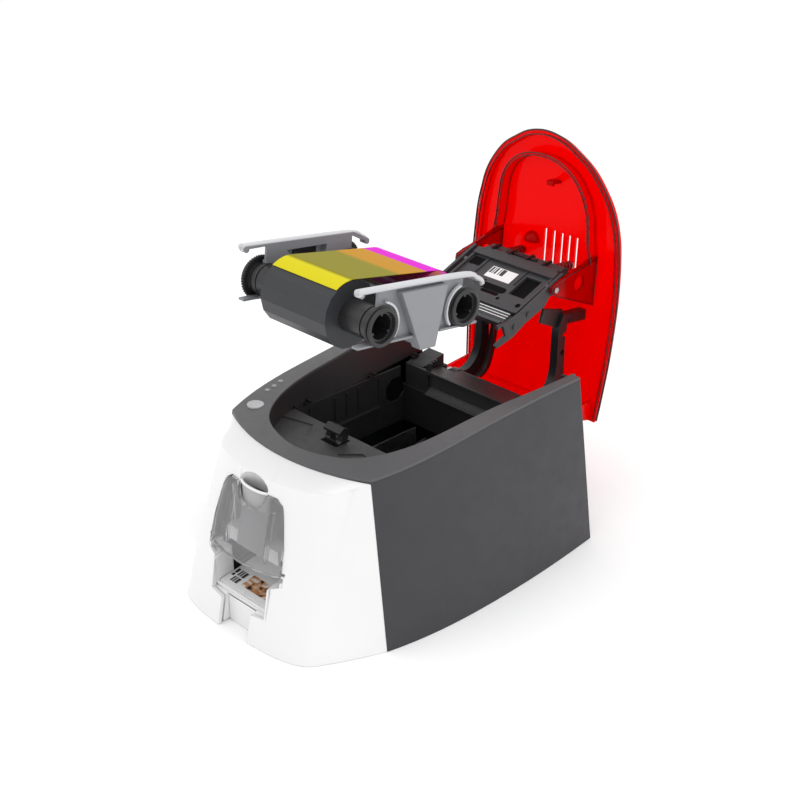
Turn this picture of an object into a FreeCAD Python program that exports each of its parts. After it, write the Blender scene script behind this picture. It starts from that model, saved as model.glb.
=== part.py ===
import FreeCAD, Part

import math
import os

V = FreeCAD.Vector
os.makedirs("parts", exist_ok=True)

# Compact desktop card printer, standing with its lid open and its ribbon cartridge lifted out.
# Millimetres. X to the right, Y to the back, Z up. The table is z = 0 and x = 0 is the middle.
# y = 0 is the seam between the white front and the dark casing, at the height of the rim.

# Driving dimensions
WALL = 2.6                    # moulded housing wall
THIN_WALL = 1.8               # inner moulded wall
PLATE = 1.5                   # pressed steel plate
GAP = 0.3                     # clearance between pieces that only stand beside each other
RUN = 0.05                    # radial clearance of a shaft in its bearing
OVER = 1.0                    # overrun of every cut
HOLD = 4.0                    # length by which a fitted piece is held
BODY_BASE_FRONT = 67.0        # front face at the table, forward of the seam
BODY_BASE_BACK = 210.0        # rear face at the table
BODY_TOP_Z = 141.2            # rim height at the rear
BODY_TOP_BACK = 193.5         # rear face at the rim
CARD_WIDTH = 53.98
CARD_LENGTH = 85.6
CARD_THICK = 0.76
LID_ANGLE = 97.5              # opening angle of the lid, degrees
HINGE_Y = 200.0
HINGE_Z = 97.0
HINGE_R = 2.5
RECESS_Z = 112.0              # deck under the lid
BAY_HALF = 64.4               # half the width of the cartridge bay
BAY_FRONT = 50.0
BAY_BACK = 168.5
BAY_BOTTOM = 60.0


def vec(x, y, z):
    return V(x, y, z)


def box(x0, x1, y0, y1, z0, z1):
    return Part.makeBox(x1 - x0, y1 - y0, z1 - z0, V(x0, y0, z0))


def rod_x(x0, x1, y, z, r):
    return Part.makeCylinder(r, x1 - x0, V(x0, y, z), V(1, 0, 0))


def rod_y(x, y0, y1, z, r):
    return Part.makeCylinder(r, y1 - y0, V(x, y0, z), V(0, 1, 0))


def rod_z(x, y, z0, z1, r):
    return Part.makeCylinder(r, z1 - z0, V(x, y, z0), V(0, 0, 1))


def prism(points, along):
    face = Part.Face(Part.makePolygon(points + points[:1]))
    return face.extrude(along)


def prism_x(pairs, x0, x1):
    return prism([V(x0, y, z) for y, z in pairs], V(x1 - x0, 0, 0))


def prism_y(pairs, y0, y1):
    return prism([V(x, y0, z) for x, z in pairs], V(0, y1 - y0, 0))


def prism_z(pairs, z0, z1):
    return prism([V(x, y, z0) for x, y in pairs], V(0, 0, z1 - z0))


def spline(points):
    curve = Part.BSplineCurve()
    curve.interpolate(points)
    return curve.toShape()


def arc(a, b, c):
    return Part.Arc(a, b, c).toShape()


def line(a, b):
    return Part.LineSegment(a, b).toShape()


def largest(shape):
    return max(shape.Solids, key=lambda solid: solid.Volume)


def fuse(shapes):
    whole = shapes[0]
    if len(shapes) > 1:
        whole = whole.multiFuse(shapes[1:])
    return whole.removeSplitter()


def cut(shape, tools):
    return shape.cut(Part.makeCompound(tools)).removeSplitter()


def group(shapes):
    return Part.makeCompound(shapes)


def save(name, shape):
    solids = [solid for solid in shape.Solids]
    whole = solids[0] if len(solids) == 1 else Part.makeCompound(solids)
    whole.exportStep("parts/" + name + ".step")


def rounded(shape, radius, choose):
    edges = [edge for edge in shape.Edges if choose(edge)]
    return shape.makeFillet(radius, edges) if edges else shape


def along_z(edge):
    box_ = edge.BoundBox
    return box_.ZLength > OVER and box_.XLength + box_.YLength < GAP


# Outer form of the body: the plan at the table and the plan at the rim, joined by straight lines
SIDE_BASE_HALF = [91.5, 99.0, 102.3, 101.0, 96.7]
SIDE_BASE_Y = [-4.4, 36.0, 96.0, 155.0, BODY_BASE_BACK]
SIDE_TOP_HALF = [69.6, 78.0, 83.5, 87.0, 90.0]
SIDE_TOP_Y = [0.5, 29.4, 91.8, 150.0, BODY_TOP_BACK]


def side_points(z, inset):
    share = z / BODY_TOP_Z
    halves = [b + (t - b) * share - inset for b, t in zip(SIDE_BASE_HALF, SIDE_TOP_HALF)]
    ys = [b + (t - b) * share for b, t in zip(SIDE_BASE_Y, SIDE_TOP_Y)]
    return list(zip(halves, ys))


FORM_RUN = 40.0               # how far an inner form runs past the open ends of the casing


def side_wire(z, inset, run):
    pts = side_points(z, inset)
    right = [V(x, y, z) for x, y in pts]
    left = [V(-x, y, z) for x, y in pts]
    front_y = right[0].y - run
    back_y = right[-1].y + run
    edges = [spline(right)]
    if run > 0:
        edges.append(line(right[-1], V(right[-1].x, back_y, z)))
        edges.append(line(V(right[-1].x, back_y, z), V(left[-1].x, back_y, z)))
        edges.append(line(V(left[-1].x, back_y, z), left[-1]))
    else:
        edges.append(line(right[-1], left[-1]))
    edges.append(spline(left[::-1]))
    if run > 0:
        edges.append(line(left[0], V(left[0].x, front_y, z)))
        edges.append(line(V(left[0].x, front_y, z), V(right[0].x, front_y, z)))
        edges.append(line(V(right[0].x, front_y, z), right[0]))
    else:
        edges.append(line(left[0], right[0]))
    return Part.Wire(edges)


def side_form(z0, z1, inset, run):
    return Part.makeLoft([side_wire(z0, inset, run), side_wire(z1, inset, run)], True, True)


# The rim is a long shallow arch seen from the side
RIM_Z0 = 125.6
RIM_SLOPE_SHARE = 0.113
RIM_RADIUS = 2940.0
SHEET_FRONT = -60.0
SHEET_MIDDLE = 90.0
SHEET_BACK = 240.0
SHEET_HALF = 130.0


def rim_z(y):
    return RIM_Z0 + RIM_SLOPE_SHARE * y - y * y / (2 * RIM_RADIUS)


def under_rim(drop):
    a = V(-SHEET_HALF, SHEET_FRONT, rim_z(SHEET_FRONT) - drop)
    b = V(-SHEET_HALF, SHEET_MIDDLE, rim_z(SHEET_MIDDLE) - drop)
    c = V(-SHEET_HALF, SHEET_BACK, rim_z(SHEET_BACK) - drop)
    low_a = V(-SHEET_HALF, SHEET_FRONT, -OVER)
    low_c = V(-SHEET_HALF, SHEET_BACK, -OVER)
    wire = Part.Wire([arc(a, b, c), line(c, low_c), line(low_c, low_a), line(low_a, a)])
    return Part.Face(wire).extrude(V(2 * SHEET_HALF, 0, 0))


# Recess for the lid: its outline at the rim and at the deck, half of each
RIM_MOUTH = [(0, -4.0), (25.0, 0.4), (42.0, 8.4), (55.0, 23.0), (62.5, 38.0), (68.0, 58.0),
             (72.0, 90.0), (75.5, 122.0), (80.0, 152.0), (84.0, 188.0), (86.0, 225.0)]
DECK_MOUTH = [(0, -3.4), (24.5, 1.0), (41.0, 9.0), (53.5, 23.5), (60.0, 38.0), (64.8, 58.0),
              (66.6, 90.0), (67.4, 122.0), (70.5, 152.0), (74.0, 188.0), (76.0, 225.0)]
MOUTH_TOP = 150.0
SKIN = 2.2                    # wall round the recess
SKIN_DEPTH = 3.4              # the wall reaches this far below the deck's top


def mouth_wire(half, z, out):
    count = len(half)
    pts = []
    for index, (x, y) in enumerate(half):
        before = half[max(index - 1, 0)]
        after = half[min(index + 1, count - 1)]
        dx = after[0] - before[0]
        dy = after[1] - before[1]
        if index == 0:
            dx, dy = 1, 0
        size = math.hypot(dx, dy)
        pts.append((x + out * dy / size, y - out * dx / size))
    right = [V(x, y, z) for x, y in pts]
    left = [V(-x, y, z) for x, y in pts[:0:-1]]
    return Part.Wire([spline(left + right), line(right[-1], left[0])])


def mouth_form(z0, out):
    share = (z0 - RECESS_Z) / (MOUTH_TOP - RECESS_Z)
    low = [(a[0] + (b[0] - a[0]) * share, a[1] + (b[1] - a[1]) * share)
           for a, b in zip(DECK_MOUTH, RIM_MOUTH)]
    return Part.makeLoft([mouth_wire(low, z0, out), mouth_wire(RIM_MOUTH, MOUTH_TOP, out)], True, True)


# Front of the rim: the arc where the dark casing meets the white front
NOSE_HALF = 72.0
NOSE_TIP = 17.0
NOSE_DEPTH = 6.0              # the casing's tongue over the white front


def nose(z0, z1, out):
    a = V(-NOSE_HALF - out, 0, z0)
    b = V(0, -NOSE_TIP - out, z0)
    c = V(NOSE_HALF + out, 0, z0)
    back = WALL + NOSE_DEPTH
    d = V(NOSE_HALF + out, back, z0)
    e = V(-NOSE_HALF - out, back, z0)
    wire = Part.Wire([arc(a, b, c), line(c, d), line(d, e), line(e, a)])
    return Part.Face(wire).extrude(V(0, 0, z1 - z0))


# Fascia sections: crease and middle of the front face at each height
FASCIA_Z = [0, 30.0, 60.0, 90.0, 117.5]
FASCIA_FRONT_Y = [-66.8, -60.2, -53.4, -46.6, -38.5]
CREASE_HALF = [69.2, 67.4, 65.4, 64.4, 63.6]
CREASE_Y = [-50.6, -42.4, -32.4, -20.2, -8.2]
FRONT_X_SHARES = [0.45, 0.77, 0.93]
FRONT_Y_SHARES = [0.09, 0.34, 0.68]
CROWN_Y_SHARES = [0.2, 0.6, 0.87]
FACET_BULGE = 1.4
CRESCENT_Z = 122.4
SEAM_INSET = 0.15


def seam_point(z):
    share = z / BODY_TOP_Z
    x = SIDE_BASE_HALF[0] + (SIDE_TOP_HALF[0] - SIDE_BASE_HALF[0]) * share
    y = SIDE_BASE_Y[0] + (SIDE_TOP_Y[0] - SIDE_BASE_Y[0]) * share
    return x, y


def fascia_wire(z, front_y, crease_x, crease_y, inset, back, y_shares):
    seam_x, seam_y = seam_point(z)
    seam_x -= inset + SEAM_INSET
    seam_y -= SEAM_INSET
    crease_x -= inset
    crease_y += inset
    front_y += inset
    half = [(0, front_y)]
    for sx, sy in zip(FRONT_X_SHARES, y_shares):
        half.append((crease_x * sx, front_y + (crease_y - front_y) * sy))
    half.append((crease_x, crease_y))
    right = [V(x, y, z) for x, y in half]
    left = [V(-x, y, z) for x, y in half[:0:-1]]
    mid_x = (crease_x + seam_x) / 2
    mid_y = (crease_y + seam_y) / 2
    run_x = seam_x - crease_x
    run_y = seam_y - crease_y
    size = math.hypot(run_x, run_y)
    bulge = FACET_BULGE * size / (2 * BODY_BASE_FRONT / 2)
    bulge_x = mid_x + bulge * run_y / size
    bulge_y = mid_y - bulge * run_x / size
    seam_r = V(seam_x, seam_y, z)
    seam_l = V(-seam_x, seam_y, z)
    edges = [spline(left + right)]
    edges.append(arc(right[-1], V(bulge_x, bulge_y, z), seam_r))
    if back > 0:
        edges.append(line(seam_r, V(seam_x, seam_y + back, z)))
        edges.append(line(V(seam_x, seam_y + back, z), V(-seam_x, seam_y + back, z)))
        edges.append(line(V(-seam_x, seam_y + back, z), seam_l))
    else:
        edges.append(line(seam_r, seam_l))
    edges.append(arc(seam_l, V(-bulge_x, bulge_y, z), left[0]))
    return Part.Wire(edges)


def fascia_form(inset, back):
    wires = []
    for z, front, crease_x, crease_y in zip(FASCIA_Z, FASCIA_FRONT_Y, CREASE_HALF, CREASE_Y):
        wires.append(fascia_wire(z, front, crease_x, crease_y, inset, back, FRONT_Y_SHARES))
    lower = Part.makeLoft(wires, True, False)
    top_z = CRESCENT_Z - inset
    crown = fascia_wire(top_z, -NOSE_TIP, NOSE_HALF - FORM_TUCK, -FORM_TUCK, inset, back, CROWN_Y_SHARES)
    upper = Part.makeLoft([wires[-1], crown], True, True)
    return lower.fuse(upper)


FORM_TUCK = 1.6

# Casing: right and left side, top rim and rear cover
outer = side_form(0, MOUTH_TOP, 0, 0).common(under_rim(0))
INNER_TOP = 160.0
inner = side_form(-OVER, INNER_TOP, WALL, FORM_RUN)
mouth = mouth_form(RECESS_Z - SKIN_DEPTH, 0)
mouth_skin = mouth_form(RECESS_Z - SKIN_DEPTH, SKIN)
sides = outer.common(under_rim(WALL)).cut(inner)
ARM_X = 39.0
right_half = box(0, SHEET_HALF, SHEET_FRONT, SHEET_BACK, -OVER, INNER_TOP)
left_half = box(-SHEET_HALF, 0, SHEET_FRONT, SHEET_BACK, -OVER, INNER_TOP)
save("right_side_cover", sides.common(right_half))
save("left_side_cover", sides.common(left_half))

# Top rim with the skin round the recess and the tongue over the white front
roof = outer.cut(under_rim(WALL))
tongue = nose(CRESCENT_Z, MOUTH_TOP, 0).common(under_rim(0))
tongue = tongue.cut(box(-SHEET_HALF, SHEET_HALF, SEAM_INSET, SHEET_BACK, -OVER, INNER_TOP))
skin = mouth_skin.common(under_rim(0))
DECK_BACK_Y = 195.0
BACK_Z = 104.5
rear_limit = box(-SHEET_HALF, SHEET_HALF, -NOSE_TIP, DECK_BACK_Y, -OVER, INNER_TOP)
skin = skin.common(rear_limit).common(side_form(-OVER, INNER_TOP, WALL, FORM_RUN))
top_rim = fuse([roof, tongue, skin])
mouth_open = box(-SHEET_HALF, SHEET_HALF, -SHEET_HALF, SHEET_BACK, RECESS_Z - SKIN_DEPTH, INNER_TOP)
top_rim = top_rim.cut(mouth.common(mouth_open))

# Power button and status windows in the rim
BUTTON_X = -64.0
BUTTON_Y = 15.0
BUTTON_R = 6.2
LED_SPOTS = [(-73.0, 34.0), (-73.6, 41.0), (-75.2, 48.6)]
LED_R = 1.3
button_z = rim_z(BUTTON_Y)
top_rim = top_rim.cut(rod_z(BUTTON_X, BUTTON_Y, RECESS_Z - SKIN_DEPTH, INNER_TOP, BUTTON_R + RUN))
for led_x, led_y in LED_SPOTS:
    top_rim = top_rim.cut(rod_z(led_x, led_y, RECESS_Z, INNER_TOP, LED_R + RUN))
save("top_rim", top_rim)

BUTTON_DISH = 40.0
BUTTON_PROUD = 0.9
BUTTON_LENGTH = 7.0
button = rod_z(BUTTON_X, BUTTON_Y, button_z - BUTTON_LENGTH, button_z + BUTTON_PROUD, BUTTON_R)
dish_ball = Part.makeSphere(BUTTON_DISH, V(BUTTON_X, BUTTON_Y, button_z + BUTTON_DISH))
button = button.cut(dish_ball)
save("power_button", button)
leds = []
for led_x, led_y in LED_SPOTS:
    led_top = rim_z(led_y)
    leds.append(rod_z(led_x, led_y, led_top - WALL, led_top - GAP, LED_R))
save("status_lenses", group(leds))

# White front
DOOR_HINGE_Y = -49.6
DOOR_HINGE_Z = 58.6
DOOR_PIN_R = 1.2
DOOR_OUTLINE = [(-37.0, 56.5), (-35.6, 76.0), (-31.0, 98.0), (-29.0, 103.5), (-23.5, 107.2),
                (-15.2, 107.6), (-13.2, 101.5), (-9.4, 96.2), (-5.0, 93.8), (0, 93.0),
                (5.0, 93.8), (9.4, 96.2), (13.2, 101.5), (15.2, 107.6), (23.5, 107.2),
                (29.0, 103.5), (31.0, 98.0), (35.6, 76.0), (37.0, 56.5), (20.0, 54.3),
                (0, 53.5), (-20.0, 54.3)]
WINDOW_OUTLINE = [(-37.5, 54.6), (-36.1, 76.0), (-31.5, 98.2), (-29.4, 104.0), (-23.7, 107.8),
                  (23.7, 107.8), (29.4, 104.0), (31.5, 98.2), (36.1, 76.0), (37.5, 54.6),
                  (20.0, 52.2), (0, 51.4), (-20.0, 52.2)]
FRONT_LIMIT = -90.0
SHELL_BACK = -30.0
EXIT_HALF = 30.0
EXIT_LOW = 23.0
TRAY_TOP = 21.0
TRAY_HALF = 15.4
CHEEK_HALF = 39.0
CHEEK_LOW = 46.0
CHEEK_STEP = 50.0
CHEEK_TOP = 56.0
PEG_END = 40.0
fascia = fascia_form(0, 0).cut(fascia_form(WALL, FORM_RUN))
fascia = fascia.cut(mouth_form(RECESS_Z - SKIN_DEPTH - OVER, SKIN + GAP))
fascia = fascia.cut(prism_y(WINDOW_OUTLINE, FRONT_LIMIT, SHELL_BACK))
EXIT_OUTLINE = [(-CHEEK_HALF, CHEEK_TOP), (-CHEEK_HALF, CHEEK_STEP), (-EXIT_HALF, CHEEK_LOW),
                (-EXIT_HALF, EXIT_LOW), (-TRAY_HALF, TRAY_TOP), (-TRAY_HALF, -OVER), (TRAY_HALF, -OVER),
                (TRAY_HALF, TRAY_TOP), (EXIT_HALF, EXIT_LOW), (EXIT_HALF, CHEEK_LOW),
                (CHEEK_HALF, CHEEK_STEP), (CHEEK_HALF, CHEEK_TOP)]
fascia = fascia.cut(prism_y(EXIT_OUTLINE, FRONT_LIMIT, SHELL_BACK))
fascia = fascia.cut(rod_x(-PEG_END, PEG_END, DOOR_HINGE_Y, DOOR_HINGE_Z, DOOR_PIN_R + RUN))

# Round finger cup above the door, its near wall following the front face
CUP_R = 14.6
CUP_WALL = 1.6
CUP_Y = -38.5
CUP_LOW = 92.0
CUP_TOP = 113.0
CUP_STAND = 1.4
CUP_INSET = 1.5
NEAR_HALF = 13.0
NEAR_LOW = 90.0
NEAR_TOP = 106.0
cup_core = rod_z(0, CUP_Y, CUP_LOW, SHEET_HALF, CUP_R)
fascia = fascia.cut(cup_core)
save("front_fascia", fascia)
cup = cup_core.cut(rod_z(0, CUP_Y, CUP_LOW - OVER, SHEET_HALF + OVER, CUP_R - CUP_WALL))
cup_back = cup.common(fascia_form(-CUP_STAND, FORM_RUN))
cup_back = cup_back.common(box(-CUP_R, CUP_R, CUP_Y, 0, CUP_LOW, CUP_TOP))
cup_near = fascia_form(CUP_INSET, FORM_RUN).cut(fascia_form(CUP_INSET + THIN_WALL, 2 * FORM_RUN))
cup_near = cup_near.common(box(-NEAR_HALF, NEAR_HALF, FRONT_LIMIT, CUP_Y + OVER, NEAR_LOW, NEAR_TOP))
cup_base = rod_z(0, CUP_Y, CUP_LOW, CUP_LOW + THIN_WALL, CUP_R).common(fascia_form(CUP_INSET, FORM_RUN))
save("hopper_cup", fuse([cup_back, cup_near, cup_base]))

# Smoked hopper door, cut from the same form as the front and hinged at its foot
DOOR_THICK = 2.6
DOOR_INSET = 1.5
door = fascia_form(-DOOR_INSET, 0).cut(fascia_form(DOOR_THICK - DOOR_INSET, FORM_RUN))
door = door.common(prism_y(DOOR_OUTLINE, FRONT_LIMIT, SHELL_BACK))
PEG_START = 35.2
PEG_STOP = 38.6
pegs = [rod_x(start, start + PEG_STOP - PEG_START, DOOR_HINGE_Y, DOOR_HINGE_Z, DOOR_PIN_R)
        for start in (PEG_START, -PEG_STOP)]
RIB_X = 20.5
RIB_HALF = 0.6
RIB_DEEP = 3.0
RIB_LOW = 60.0
RIB_HIGH = 96.0
rib_in = DOOR_THICK - DOOR_INSET
ribs = fascia_form(rib_in - GAP, 0).cut(fascia_form(rib_in + RIB_DEEP, FORM_RUN))
rib_cells = [box(x - RIB_HALF, x + RIB_HALF, FRONT_LIMIT, SHELL_BACK, RIB_LOW, RIB_HIGH)
             for x in (RIB_X, -RIB_X)]
save("hopper_door", fuse([door, ribs.common(fuse(rib_cells))] + pegs))

# Duct behind the door: hopper well with a white dished back, standing on the card floor
CARD_HALF = CARD_WIDTH / 2
CARD_GAP = 0.5
WELL_FRONT = -36.0
WELL_BACK = 44.0
WELL_FLOOR = 57.6
WELL_TOP = 96.5
side_wall = CARD_HALF + CARD_GAP
well_half = side_wall + THIN_WALL
well_end = WELL_BACK - THIN_WALL
well = box(-well_half, well_half, WELL_FRONT, WELL_BACK, WELL_FLOOR - PLATE, WELL_TOP)
well = well.cut(box(-side_wall, side_wall, WELL_FRONT - OVER, well_end, WELL_FLOOR, WELL_TOP + OVER))
THROAT = 1.4
well = well.cut(box(-side_wall, side_wall, well_end - OVER, WELL_BACK + OVER, WELL_FLOOR,
                    WELL_FLOOR + THROAT))
PICK_Y = -8.0
PICK_R = 7.0
PICK_HALF = 9.0
pick_z = WELL_FLOOR - PICK_R
slot = box(-PICK_HALF - OVER, PICK_HALF + OVER, PICK_Y - PICK_R - OVER, PICK_Y + PICK_R + OVER,
           WELL_FLOOR - PLATE - OVER, WELL_FLOOR + GAP)
well = well.cut(slot)
save("hopper_well", well)

# Deck under the lid: shelf in front of the cartridge bay, sloping deck behind it
deck_plate = box(-SHEET_HALF, SHEET_HALF, -NOSE_TIP, BAY_FRONT, RECESS_Z - SKIN_DEPTH, RECESS_Z)
deck_reach = mouth_form(RECESS_Z - SKIN_DEPTH, -RUN).common(deck_plate)
FACET_LEFT = [(-47.5, 14.0), (-21.9, 27.5), (-33.6, 42.9), (-61.0, 36.0)]
FACET_RIGHT = [(11.7, 25.8), (40.0, 8.5), (56.0, 30.0), (24.0, 38.0)]
FACET_DEEP = 1.0
facets = [prism_z(FACET_LEFT, RECESS_Z - FACET_DEEP, RECESS_Z + OVER),
          prism_z(FACET_RIGHT, RECESS_Z - FACET_DEEP, RECESS_Z + OVER)]
LATCH_Y = 38.0
LATCH_X = -4.6
LATCH_HALF = 8.4
LATCH_DEEP = 6.8
facets.append(box(LATCH_X - LATCH_HALF, LATCH_X + LATCH_HALF, LATCH_Y - LATCH_DEEP, LATCH_Y + LATCH_DEEP,
                  RECESS_Z - SKIN_DEPTH - OVER, RECESS_Z + OVER))
save("recess_deck", cut(deck_reach, facets))

DECK_FRONT_Z = 110.0
REAR_SLOPE = [(BAY_BACK, DECK_FRONT_Z), (DECK_BACK_Y, BACK_Z), (DECK_BACK_Y, BACK_Z - WALL),
              (BAY_BACK, DECK_FRONT_Z - WALL)]
TROUGH_R = 10.5
TROUGH_FRONT = 6.5
TROUGH_DROP = 8.2
LIP_FRONT = 4.6
LIP_DROP = 18.4
STEP_X = -48.0
BAR_LEFT = -40.0
back_top = DECK_FRONT_Z - LIP_DROP
step_front = BAY_BACK + WALL
lip_y = BAY_BACK - LIP_FRONT
rear_deck = prism_x(REAR_SLOPE, -BAY_HALF, BAY_HALF)
bar_block = box(-BAY_HALF, BAY_HALF, lip_y, step_front, back_top, DECK_FRONT_Z)
trough = rod_x(BAR_LEFT, BAY_HALF + OVER, BAY_BACK - TROUGH_FRONT, DECK_FRONT_Z - TROUGH_DROP, TROUGH_R)
bar_block = bar_block.cut(trough)
bar_block = bar_block.cut(box(-BAY_HALF - OVER, BAR_LEFT, lip_y - OVER, BAY_BACK, back_top - OVER,
                              DECK_FRONT_Z + OVER))
COMB_TEETH = 5
COMB_PITCH = 2.6
COMB_TOOTH = 1.3
STEP_TOP = 115.0
step = box(-BAY_HALF, STEP_X, step_front, DECK_BACK_Y, BACK_Z - WALL, STEP_TOP)
comb = []
for i in range(COMB_TEETH):
    start = step_front + COMB_PITCH * (i + 1)
    comb.append(box(STEP_X, STEP_X + COMB_PITCH, start, start + COMB_TOOTH, BACK_Z - OVER, STEP_TOP - OVER))
HOOK = [(-43.2, 109.0), (-38.8, 109.0), (-37.6, 117.0), (-42.0, 115.4)]
hook = prism_y(HOOK, BAY_BACK + OVER, step_front)
SLOT_HALF = 8.0
SLOT_FRONT = 189.6
SLOT_LOW = 84.0
arm_slots = [box(x - SLOT_HALF, x + SLOT_HALF, SLOT_FRONT, SHEET_BACK, SLOT_LOW, INNER_TOP)
             for x in (ARM_X, -ARM_X)]
rear_deck = fuse([rear_deck, bar_block, step, hook] + comb)
save("rear_deck", cut(rear_deck, arm_slots))

# Ribbon bay: four walls with keyhole seats for the cartridge, ribs and a ledge
LINER_TOP = RECESS_Z - SKIN_DEPTH
OCTAGON_R = 11.0
OCT_Y = 157.0
OCT_Z = 90.0
SUPPLY_SEAT = (73.5, 99.0)
TAKEUP_SEAT = (151.6, 89.5)
CORE_R = 11.5


def octagon(y, z, r):
    corners = []
    for i in range(OCTAGON_SIDES):
        angle = 2 * math.pi * (i + HALF_SHARE) / OCTAGON_SIDES
        corners.append((y + r * math.cos(angle), z + r * math.sin(angle)))
    return corners


OCTAGON_SIDES = 8
HALF_SHARE = 0.5
liner_half = BAY_HALF + THIN_WALL
liner = box(-liner_half, liner_half, BAY_FRONT - THIN_WALL, BAY_BACK, BAY_BOTTOM, LINER_TOP)
liner = liner.cut(box(-BAY_HALF, BAY_HALF, BAY_FRONT, BAY_BACK - THIN_WALL, BAY_BOTTOM - OVER,
                      LINER_TOP + OVER))
liner = liner.cut(box(-SHEET_HALF, SHEET_HALF, BAY_BACK - LIP_FRONT - OVER, BAY_BACK + OVER, back_top,
                      LINER_TOP + OVER))
liner = liner.cut(prism_x(octagon(OCT_Y, OCT_Z, OCTAGON_R), -BAY_HALF - WALL, -BAY_HALF + OVER))
SPINDLE_R = 8.0
for y, z in (SUPPLY_SEAT, TAKEUP_SEAT):
    liner = liner.cut(rod_x(BAY_HALF - OVER, BAY_HALF + WALL, y, z, SPINDLE_R + RUN))
RIB_YS = [58.0, 66.0, 92.0, 104.0, 116.0, 138.0]
RIB_STAND = 1.0
RIB_WIDE = 1.4
RIB_FOOT = 86.0
RIB_HEAD = 105.6
SHORT_RIB = 12.0
ribs = []
for y in RIB_YS:
    ribs.append(box(-BAY_HALF, -BAY_HALF + RIB_STAND, y, y + RIB_WIDE, RIB_FOOT, RIB_HEAD))
    ribs.append(box(BAY_HALF - RIB_STAND, BAY_HALF, y, y + RIB_WIDE, BAY_BOTTOM, BAY_BOTTOM + SHORT_RIB))
LEDGE = 2.2
LEDGE_TALL = 2.0
LEDGE_Z = 80.0
LEDGE_BACK = 138.5
ribs.append(box(-BAY_HALF, -BAY_HALF + LEDGE, BAY_FRONT, LEDGE_BACK, LEDGE_Z, LEDGE_Z + LEDGE_TALL))
save("bay_liner", fuse([liner] + ribs))

# Ribbon spindles stand through the right wall, each with a collar behind it and a driving slot
HUB_IN = 5.0
HUB_OUT = 9.0
NOSE_IN = 8.0
NOSE_STEP = 2.4
COLLAR_STEP = 1.2
COLLAR_END = 5.0
KEY_HALF = 0.8
for name, (y, z) in (("supply_spindle", SUPPLY_SEAT), ("takeup_spindle", TAKEUP_SEAT)):
    hub = rod_x(BAY_HALF - HUB_IN, BAY_HALF + HUB_OUT, y, z, SPINDLE_R)
    nose_cone = rod_x(BAY_HALF - NOSE_IN, BAY_HALF - HUB_IN, y, z, SPINDLE_R - NOSE_STEP)
    collar = rod_x(liner_half + GAP, BAY_HALF + COLLAR_END, y, z, SPINDLE_R + COLLAR_STEP)
    key_slot = box(BAY_HALF - NOSE_IN - OVER, BAY_HALF - OVER, y - KEY_HALF, y + KEY_HALF,
                   z - SPINDLE_R - OVER, z + SPINDLE_R + OVER)
    save(name, cut(fuse([hub, nose_cone, collar]), [key_slot]))

# Rear cover with the inlets
rear_pairs = [(BODY_BASE_BACK - WALL, 0), (BODY_BASE_BACK, 0), (BODY_TOP_BACK, BODY_TOP_Z),
              (BODY_TOP_BACK - WALL, BODY_TOP_Z)]
rear = prism_x(rear_pairs, -SHEET_HALF, SHEET_HALF)
rear = rear.common(side_form(-OVER, INNER_TOP, WALL, FORM_RUN)).common(under_rim(WALL))
PILLAR_X = 74.0
REAR_INSIDE = 180.0
rear = rear.cut(box(-PILLAR_X, PILLAR_X, REAR_INSIDE, SHEET_BACK, BACK_Z, INNER_TOP))
rear = rear.cut(fuse(arm_slots))
DC_X = 62.0
DC_Z = 24.0
DC_R = 5.2
USB_X = 30.0
USB_Z = 24.0
USB_HALF = 6.1
USB_TALL = 11.0
GRILLE_ROWS = 6
GRILLE_PITCH = 5.0
GRILLE_LOW = 46.0
GRILLE_HALF = 24.0
GRILLE_TALL = 2.2
rear_tools = [rod_y(DC_X, REAR_INSIDE, SHEET_BACK, DC_Z, DC_R + RUN),
              box(USB_X - USB_HALF, USB_X + USB_HALF, REAR_INSIDE, SHEET_BACK, USB_Z, USB_Z + USB_TALL)]
for i in range(GRILLE_ROWS):
    low = GRILLE_LOW + i * GRILLE_PITCH
    rear_tools.append(box(-GRILLE_HALF, GRILLE_HALF, REAR_INSIDE, SHEET_BACK, low, low + GRILLE_TALL))
save("rear_cover", cut(rear.cut(top_rim), rear_tools))

# Base tray and rubber feet
TRAY_PLAN = [(-74.0, -20.0), (-84.0, 4.0), (-93.6, 36.0), (-97.4, 70.0), (-98.6, 110.0), (-97.0, 150.0),
             (-94.0, 186.0), (-92.6, 206.6), (92.6, 206.6), (94.0, 186.0), (97.0, 150.0), (98.6, 110.0),
             (97.4, 70.0), (93.6, 36.0), (84.0, 4.0), (74.0, -20.0)]
TRAY_FRONT = [(-20.0, -40.0), (20.0, -40.0), (74.0, -20.0), (-74.0, -20.0)]
tray_plate = fuse([prism_z(TRAY_PLAN, 0, WALL), prism_z(TRAY_FRONT, 0, WALL)])
FOOT_SPOTS = [(-58.0, -8.0), (58.0, -8.0), (-82.0, 188.0), (82.0, 188.0)]
FOOT_R = 7.5
FOOT_DEEP = 1.2
FOOT_PEG = 3.0
holes = [rod_z(x, y, -OVER, WALL + OVER, FOOT_PEG) for x, y in FOOT_SPOTS]
holes += [rod_z(x, y, -OVER, FOOT_DEEP, FOOT_R) for x, y in FOOT_SPOTS]
VENT_ROWS = 9
VENT_PITCH = 8.0
VENT_FRONT = 60.0
VENT_DEEP = 3.0
VENT_HALF = 30.0
vents = []
for i in range(VENT_ROWS):
    start = VENT_FRONT + VENT_PITCH * i
    vents.append(box(-VENT_HALF, VENT_HALF, start, start + VENT_DEEP, -OVER, WALL + OVER))
save("base_tray", cut(tray_plate, holes + vents))
feet = []
for x, y in FOOT_SPOTS:
    feet.append(fuse([rod_z(x, y, 0, FOOT_DEEP, FOOT_R), rod_z(x, y, 0, WALL, FOOT_PEG)]))
save("rubber_feet", group(feet))

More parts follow.
